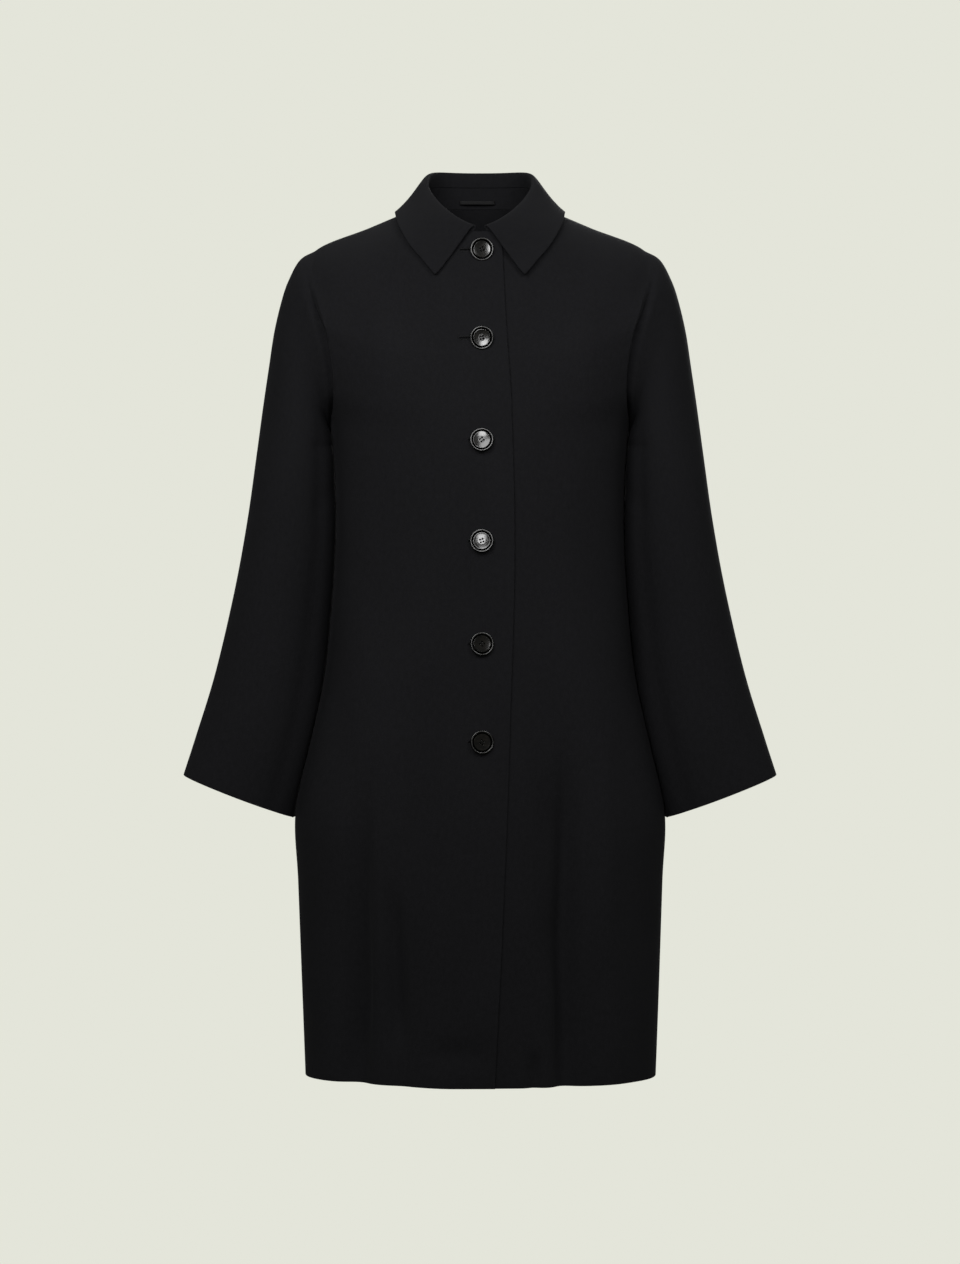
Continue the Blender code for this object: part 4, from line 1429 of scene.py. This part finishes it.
@dataclass
class Buttonholes:
    """The stitched buttonholes of the right front, partly under the buttons.

    The cut of each hole is shown as painted shade: a row of flat near-black beads of the stitch's
    shape, scaled by slit_shape, laid where the cut shows only shade. The lifts are shares of a
    stitch's radius by which stitches and shade beads stand off the cloth.
    """

    body: BodyForm
    length: float = 0.0250
    slit_half: float = 0.00075
    stitch_length: float = 0.0019
    stitch_radius: float = 0.00026
    pitch: float = 0.00046
    stitch_sides: int = 8
    stitch_rings: int = 5
    stitch_lift: float = 0.55
    stitch_lean: float = 0.10
    lean_step: float = 2.4
    end_stitches: int = 5
    end_fan: float = 1.9
    slit_beads: int = 26
    slit_shape: Triple = (0.75, 2.7, 0.45)
    slit_lift: float = 0.30

    def stitch(self) -> Piece:
        """One stitch as a stretched bead.

        Returns:
            The stitch, along X at the origin.
        """
        only()
        bpy.ops.mesh.primitive_uv_sphere_add(segments=self.stitch_sides, ring_count=self.stitch_rings,
                                             radius=1.0)
        bead = bpy.context.object
        bpy.ops.object.mode_set(mode="EDIT")
        bpy.ops.mesh.select_all(action="SELECT")
        bpy.ops.transform.resize(value=(self.stitch_length / 2, self.stitch_radius, self.stitch_radius))
        bpy.ops.object.mode_set(mode="OBJECT")
        return bead

    def layout(self) -> Array:
        """The stitches of one hole.

        Returns:
            For each stitch its middle across and up from the hole's middle, and its direction.
        """
        half = self.length / 2
        count = int(self.length / self.pitch)
        middles = self.slit_half + self.stitch_length / 2
        rows = []
        for k in range(count + 1):
            x = -half + self.length * k / count
            lean = self.stitch_lean * math.sin(self.lean_step * k)
            rows += [(x, middles, math.pi / 2 + lean), (x, -middles, -math.pi / 2 + lean)]
        for end in (-1.0, 1.0):
            for k in range(self.end_stitches):
                turn = (k / (self.end_stitches - 1) - 0.5) * self.end_fan
                aim = turn if end > 0 else math.pi - turn
                rows.append((end * half + math.cos(aim) * middles, math.sin(aim) * middles, aim))
        return np.array(rows)

    def hole(self, number: int, at: ButtonPlace, bead: Piece, thread: Material,
             slit_shade: Material) -> Piece:
        """One buttonhole, laid on the right front.

        Args:
            number: The button's number from the collar down.
            at: The button's place.
            bead: The stitch to repeat.
            thread: The finish of the stitches.
            slit_shade: Painted shade, the near-black finish of the beads laid in the cut between them.

        Returns:
            The piece.
        """
        corners = np.array([v.co for v in bead.data.vertices])
        faces = [list(p.vertices) for p in bead.data.polygons]
        layout = self.layout()
        # Beads along the cut, made near-black: painted shade where the cut shows only shade.
        slit_rows = np.zeros((self.slit_beads, 3))
        slit_rows[:, 0] = np.linspace(-0.5, 0.5, self.slit_beads) * self.length
        all_rows = np.concatenate((layout, slit_rows))
        middle_x = self.body.button_line - at.hole_shift
        points, outward = self.body.on_front(middle_x + all_rows[:, 0], at.height + all_rows[:, 1])
        across = unit(np.cross((0.0, 0.0, 1.0), outward))
        across *= np.sign(across[:, :1])
        up = np.cross(outward, across)
        up *= np.sign(up[:, 2:])
        cos, sin = np.cos(all_rows[:, 2:]), np.sin(all_rows[:, 2:])
        along, aside = across * cos + up * sin, up * cos - across * sin
        made, ends = [], len(layout)
        for k in range(len(all_rows)):
            shape = corners if k < ends else corners * self.slit_shape
            lift = self.stitch_radius * (self.stitch_lift if k < ends else self.slit_lift)
            made.append(points[k] + outward[k] * lift + shape[:, :1] * along[k]
                        + shape[:, 1:2] * aside[k] + shape[:, 2:] * outward[k])
        mesh = bpy.data.meshes.new(f"buttonhole_{number}")
        count = len(corners)
        mesh.from_pydata(np.concatenate(made).tolist(), [],
                         [[c + k * count for c in f] for k in range(len(all_rows)) for f in faces])
        mesh.materials.append(thread)
        mesh.materials.append(slit_shade)
        # The beads in the cut take the painted-shade finish.
        finishes = [int(k >= ends) for k in range(len(all_rows)) for _ in faces]
        mesh.polygons.foreach_set("material_index", finishes)
        face_outwards(mesh)
        return place_piece(linked(mesh.name, mesh))

    def build(self, thread: Material, slit_shade: Material) -> list[Piece]:
        """Make the six buttonholes.

        Args:
            thread: The finish of the stitches.
            slit_shade: Painted shade, the near-black finish of the beads laid in the cut between them.

        Returns:
            The pieces.
        """
        bead = self.stitch()
        made = [self.hole(number, at, bead, thread, slit_shade)
                for number, at in enumerate(BUTTON_PLACES, start=1)]
        bpy.data.objects.remove(bead)
        return made


class NodeSheet:
    """A material's node tree, with short calls to add and join nodes."""

    NOISE_ROUGHNESS = 0.55
    MIX_SHARE, MIX_FIRST, MIX_SECOND, MIX_RESULT = 0, 6, 7, 2   # a Mix node's sockets for colours

    def __init__(self, name: str) -> None:
        """Start a material with an empty node tree.

        Args:
            name: The material's name.
        """
        self.material = bpy.data.materials.new(name)
        self.material.use_nodes = True
        self.tree = self.material.node_tree
        self.tree.nodes.clear()

    def add(self, kind: str, links: dict | None = None, **values: object) -> bpy.types.Node:
        """Add a node.

        Args:
            kind: Blender's name of the node, without its Shader prefix.
            links: Sockets to join or set: an output socket is joined, any other value is set.
            values: The node's own settings.

        Returns:
            The node.
        """
        node = self.tree.nodes.new(f"ShaderNode{kind}")
        for name, value in values.items():
            setattr(node, name, value)
        for name, value in (links or {}).items():
            if isinstance(value, Socket):
                self.tree.links.new(value, node.inputs[name])
            else:
                node.inputs[name].default_value = value
        return node

    def noise(self, place: Socket, scale: Triple, detail: float) -> Socket:
        """Noise with its own grain along each axis.

        Args:
            place: The coordinates.
            scale: Grains to the metre along each axis.
            detail: How many finer layers the noise has.

        Returns:
            The noise, from 0 to 1.
        """
        spread = self.add("Mapping", {"Vector": place, "Scale": scale})
        return self.add("TexNoise", {"Vector": spread.outputs["Vector"], "Scale": 1.0, "Detail": detail,
                                     "Roughness": self.NOISE_ROUGHNESS}).outputs["Fac"]

    def combine(self, how: str, first: object, second: object) -> Socket:
        """Reckon with two values or sockets."""
        return self.add("Math", {0: first, 1: second}, operation=how).outputs[0]

    def ramp(self, value: Socket, band: Pair, spread: Pair = (0.0, 1.0)) -> Socket:
        """Spread a value from one range over another."""
        return self.add("MapRange", {"Value": value, "From Min": band[0], "From Max": band[1],
                                     "To Min": spread[0], "To Max": spread[1]}).outputs["Result"]

    def blend(self, share: Socket, first: Triple, second: Triple) -> Socket:
        """Mix two colours.

        Args:
            share: The share of the second colour.
            first: The colour at 0.
            second: The colour at 1.

        Returns:
            The mixed colour.
        """
        mix = self.add("Mix", data_type="RGBA")
        mix.inputs[self.MIX_FIRST].default_value = (*first, 1.0)
        mix.inputs[self.MIX_SECOND].default_value = (*second, 1.0)
        self.tree.links.new(share, mix.inputs[self.MIX_SHARE])
        return mix.outputs[self.MIX_RESULT]

    def finish(self, shader: Socket) -> Material:
        """Join a shader to the output and return the material."""
        self.add("OutputMaterial", {"Surface": shader})
        return self.material


@dataclass(frozen=True)
class Finish:
    """What all finishes have: two tones, a range of roughness, a shine and a fine relief."""

    name: str
    dark: Triple
    light: Triple
    roughness: Pair
    specular: float
    relief: float
    relief_strength: float

    def surface(self, sheet: NodeSheet, share: Socket, rough: Socket, height: Socket,
                **more: object) -> Material:
        """Finish a material from its patterns.

        Args:
            sheet: The material's node tree.
            share: The share of the light tone.
            rough: The roughness.
            height: The relief.
            more: Further settings of the surface, with _ for each space in their names.

        Returns:
            The material.
        """
        bump = sheet.add("Bump", {"Height": height, "Distance": self.relief,
                                  "Strength": self.relief_strength})
        shader = sheet.add("BsdfPrincipled", {
            "Base Color": sheet.blend(share, self.dark, self.light), "Roughness": rough,
            "Specular IOR Level": self.specular, "Normal": bump.outputs["Normal"],
            **{name.replace("_", " "): value for name, value in more.items()}})
        return sheet.finish(shader.outputs["BSDF"])


@dataclass(frozen=True)
class CrepeFinish(Finish):
    """Matte black crepe: a fine pebbled grain, a short nap and a slight bloom at grazing light.

    Grain, nap and tone are in grains to the metre; the cross fields are their shares the other way.
    """

    name: str = "black_crepe"
    dark: Triple = (0.0077, 0.0077, 0.0086)
    light: Triple = (0.0154, 0.0154, 0.0172)
    roughness: Pair = (0.84, 0.97)
    specular: float = 0.06
    relief: float = 0.00022
    relief_strength: float = 0.7
    sheen: float = 0.02
    sheen_roughness: float = 0.45
    sheen_tint: Triple = (0.62, 0.63, 0.66)
    grain: float = 1300.0
    cross_grain: float = 0.42
    nap: float = 240.0
    cross_nap: float = 0.6
    tone: float = 9.0
    cross_tone: float = 0.5
    nap_height: float = 0.5
    nap_wear: float = 0.6
    tone_wear: float = 0.4
    wear_band: Pair = (0.12, 0.48)

    def material(self) -> Material:
        """Make the cloth's material on its weave map.

        Returns:
            The material.
        """
        sheet = NodeSheet(self.name)
        place = sheet.add("UVMap", uv_map="weave").outputs["UV"]
        weft = sheet.noise(place, (self.grain, self.grain * self.cross_grain, 1.0), detail=2.0)
        warp = sheet.noise(place, (self.grain * self.cross_grain, self.grain, 1.0), detail=2.0)
        pebble = sheet.combine("MAXIMUM", weft, warp)
        nap = sheet.noise(place, (self.nap, self.nap * self.cross_nap, 1.0), detail=4.0)
        tone = sheet.noise(place, (self.tone, self.tone * self.cross_tone, 1.0), detail=3.0)
        height = sheet.combine("ADD", pebble, sheet.combine("MULTIPLY", nap, self.nap_height))
        worn = sheet.combine("ADD", sheet.combine("MULTIPLY", nap, self.nap_wear),
                             sheet.combine("MULTIPLY", tone, self.tone_wear))
        share = sheet.ramp(sheet.combine("MULTIPLY", pebble, worn), self.wear_band)
        return self.surface(sheet, share, sheet.ramp(nap, NOISE_BAND, self.roughness), height,
                            Sheen_Weight=self.sheen, Sheen_Roughness=self.sheen_roughness,
                            Sheen_Tint=(*self.sheen_tint, 1.0))


@dataclass(frozen=True)
class BraidFinish(Finish):
    """Smooth black braid with a fine diagonal rib."""

    name: str = "black_braid"
    dark: Triple = (0.0014, 0.0014, 0.0016)
    light: Triple = (0.0040, 0.0040, 0.0044)
    roughness: Pair = (0.66, 0.50)
    specular: float = 0.25
    relief: float = 0.0001
    relief_strength: float = 0.8
    ribs: float = 238.73946
    slant: float = 0.8
    waver: float = 0.6

    def material(self) -> Material:
        """Make the braid's material on its weave map.

        Returns:
            The material.
        """
        sheet = NodeSheet(self.name)
        place = sheet.add("UVMap", uv_map="weave").outputs["UV"]
        turned = sheet.add("Mapping", {"Vector": place, "Rotation": (0.0, 0.0, self.slant)})
        rib = sheet.add("TexWave", {"Vector": turned.outputs["Vector"], "Scale": self.ribs,
                                    "Distortion": self.waver, "Detail": 1.0}).outputs["Fac"]
        return self.surface(sheet, rib, sheet.ramp(rib, (0.0, 1.0), self.roughness), rib)


@dataclass(frozen=True)
class HornFinish(Finish):
    """Turned black horn with faint brown streaks and fine wear marks, both in grains to the metre."""

    name: str = "polished_horn"
    dark: Triple = (0.0035, 0.0034, 0.0032)
    light: Triple = (0.0120, 0.0105, 0.0088)
    roughness: Pair = (0.13, 0.18)
    specular: float = 0.55
    relief: float = 0.000003
    relief_strength: float = 0.5
    coat: float = 0.30
    coat_roughness: float = 0.11
    streaks: Triple = (160.0, 640.0, 240.0)
    streak_band: Pair = (0.40, 0.72)
    marks: Triple = (1800.0, 540.0, 1800.0)

    def material(self) -> Material:
        """Make the buttons' material in the object's own coordinates.

        Returns:
            The material.
        """
        sheet = NodeSheet(self.name)
        place = sheet.add("TexCoord").outputs["Object"]
        share = sheet.ramp(sheet.noise(place, self.streaks, detail=5.0), self.streak_band)
        mark = sheet.noise(place, self.marks, detail=3.0)
        return self.surface(sheet, share, sheet.ramp(mark, NOISE_BAND, self.roughness), mark,
                            Coat_Weight=self.coat, Coat_Roughness=self.coat_roughness)


@dataclass(frozen=True)
class ThreadFinish(Finish):
    """Sewing thread, with a twist that shows as fine light and dark."""

    name: str = "black_thread"
    dark: Triple = (0.0030, 0.0030, 0.0034)
    light: Triple = (0.0120, 0.0120, 0.0130)
    roughness: Pair = (0.70, 0.52)
    specular: float = 0.2
    relief: float = 0.00006
    relief_strength: float = 0.6
    twist: float = 3200.0
    twist_band: Pair = (0.35, 0.65)

    def material(self) -> Material:
        """Make the thread's material in the object's own coordinates.

        Returns:
            The material.
        """
        sheet = NodeSheet(self.name)
        place = sheet.add("TexCoord").outputs["Object"]
        twist = sheet.noise(place, (self.twist, self.twist, self.twist), detail=2.0)
        return self.surface(sheet, sheet.ramp(twist, self.twist_band),
                            sheet.ramp(twist, NOISE_BAND, self.roughness), twist)


POLISHED_DISH = HornFinish()
# Painted shade: near-black colour and no shine for the groove and the rim's outer side; the higher
# roughness is the horn's own dull polish.
DULL_SHADED_GROOVE = HornFinish("dull_horn_painted_shade", dark=(0.0006, 0.0006, 0.0006), light=(0.0016, 0.0015, 0.0014),
                         roughness=(0.62, 0.72), specular=0.0, coat=0.0)
BRUSHED_RIM = HornFinish("brushed_horn", roughness=(0.28, 0.34), specular=0.85, coat=0.20)
# Painted shade: near-black finish for the beads laid in each buttonhole's cut, where only shade shows.
SLIT_SHADOW = ThreadFinish("slit_shadow", dark=(0.0004, 0.0004, 0.0005),
                           light=(0.0012, 0.0012, 0.0013), specular=0.03)


@dataclass(frozen=True)
class SoftBox:
    """A soft light: where it hangs, the point that it faces, its width and height, and its power."""

    name: str
    place: Triple
    aim: Triple
    size: Pair
    watts: float

    def hang(self) -> None:
        """Put the light into the scene, out of the camera's sight."""
        light = bpy.data.lights.new(self.name, "AREA")
        light.shape, light.energy = "RECTANGLE", self.watts
        light.size, light.size_y = self.size
        lamp = linked(self.name, light)
        lamp.location = self.place
        lamp.visible_camera = False
        towards = Vector(self.aim) - Vector(self.place)
        lamp.rotation_euler = towards.to_track_quat("-Z", "Y").to_euler()


SOFT_BOXES = (
    SoftBox("key_left_box", (-0.45, -1.20, 0.45), (-0.1, 0.0, -0.20), (0.80, 0.60), 10.0),
    SoftBox("key_right_box", (0.62, -1.20, 0.45), (0.1, 0.0, -0.20), (0.50, 0.60), 6.0),
    SoftBox("front_box", (-0.40, -3.60, 0.375), (0.0, 0.0, -0.35), (0.60, 0.65), 17.0),
    SoftBox("left_side_box", (-2.50, -0.20, -0.20), (0.0, 0.0, -0.40), (1.20, 1.80), 7.0),
    SoftBox("right_side_box", (2.50, -0.20, -0.20), (0.0, 0.0, -0.40), (1.20, 1.80), 8.0),
    SoftBox("top_box", (0.0, 0.9, 1.5), (0.0, 0.0, -0.1), (1.8, 1.0), 11.0),
    SoftBox("back_box", (0.5, 2.6, 0.6), (0.0, 0.0, -0.35), (1.6, 1.2), 42.0),
)


@dataclass
class Studio:
    """A pale studio: floor, soft lights and the camera at the photograph's angle."""

    pale: Triple = (0.775, 0.783, 0.701)
    camera_place: Triple = (0.0, -4.0, -0.458)
    focal_pixels: float = 3656.0
    frame_height: float = 1264.0
    floor_z: float = -1.30
    floor_radius: float = 2.2
    floor_sides: int = 96
    floor_shade: float = 0.3
    sensor_mm: float = 36.0
    ambient: float = 0.07

    def floor(self) -> None:
        """Lay a plain pale floor under the coat."""
        only()
        bpy.ops.mesh.primitive_circle_add(vertices=self.floor_sides, radius=self.floor_radius,
                                          fill_type="NGON", location=(0.0, 0.0, self.floor_z))
        floor = bpy.context.object
        floor.name = "studio_floor"
        bpy.ops.object.transform_apply(location=True, rotation=True, scale=True)
        sheet = NodeSheet("studio_paper")
        shaded = (self.floor_shade * c for c in self.pale)
        lit = sheet.add("BsdfDiffuse", {"Color": (*shaded, 1.0)})
        glow = sheet.add("Emission", {"Color": (*self.pale, 1.0), "Strength": 1.0})
        seen = sheet.add("LightPath").outputs["Is Camera Ray"]
        mix = sheet.add("MixShader", {0: seen, 1: lit.outputs[0], 2: glow.outputs[0]})
        floor.data.materials.append(sheet.finish(mix.outputs[0]))

    def surroundings(self) -> None:
        """Fill the room with pale light, dimmer on the coat than to the camera."""
        world = bpy.data.worlds.new("studio_room")
        world.use_nodes = True
        nodes, links = world.node_tree.nodes, world.node_tree.links
        back = nodes["Background"]
        back.inputs["Color"].default_value = (*self.pale, 1.0)
        path, spread = nodes.new("ShaderNodeLightPath"), nodes.new("ShaderNodeMapRange")
        spread.inputs["To Min"].default_value = self.ambient
        links.new(path.outputs["Is Camera Ray"], spread.inputs["Value"])
        links.new(spread.outputs["Result"], back.inputs["Strength"])
        bpy.context.scene.world = world

    def camera(self) -> None:
        """Set up the camera as the photograph was taken."""
        lens = bpy.data.cameras.new("photo_camera")
        lens.sensor_width, lens.sensor_fit = self.sensor_mm, "AUTO"
        lens.lens = self.focal_pixels / self.frame_height * lens.sensor_width
        camera = linked("photo_camera", lens)
        camera.location, camera.rotation_euler = self.camera_place, (math.pi / 2, 0.0, 0.0)
        bpy.context.scene.camera = camera

    def build(self) -> None:
        """Set up the whole studio."""
        self.camera()
        self.surroundings()
        self.floor()
        for box in SOFT_BOXES:
            box.hang()
        bpy.context.scene.view_settings.view_transform = "Standard"
        LOG.info("studio is set up")


def main() -> None:
    """Dress the coat piece by piece and light it."""
    logging.basicConfig(level=logging.INFO, format="%(name)s: %(message)s")
    Studio().build()
    body = BodyForm()
    cloth, thread = CrepeFinish().material(), ThreadFinish().material()
    # Painted shade for the buttonholes' cuts.
    slit_shade = SLIT_SHADOW.material()
    panels, sleeves, collar = BodyPanels(body), SleevePair(body), Collar(body)
    made = {**panels.build(cloth), **sleeves.build(cloth), **collar.build(cloth)}
    made["hanger_loop"] = HangerLoop(body, collar).build(BraidFinish().material())
    # The groove's finish carries painted shade.
    horn = [finish.material() for finish in (POLISHED_DISH, DULL_SHADED_GROOVE, BRUSHED_RIM)]
    ButtonRow(body).build(horn, thread)
    holes = Buttonholes(body).build(thread, slit_shade)


if __name__ == "__main__":
    main()
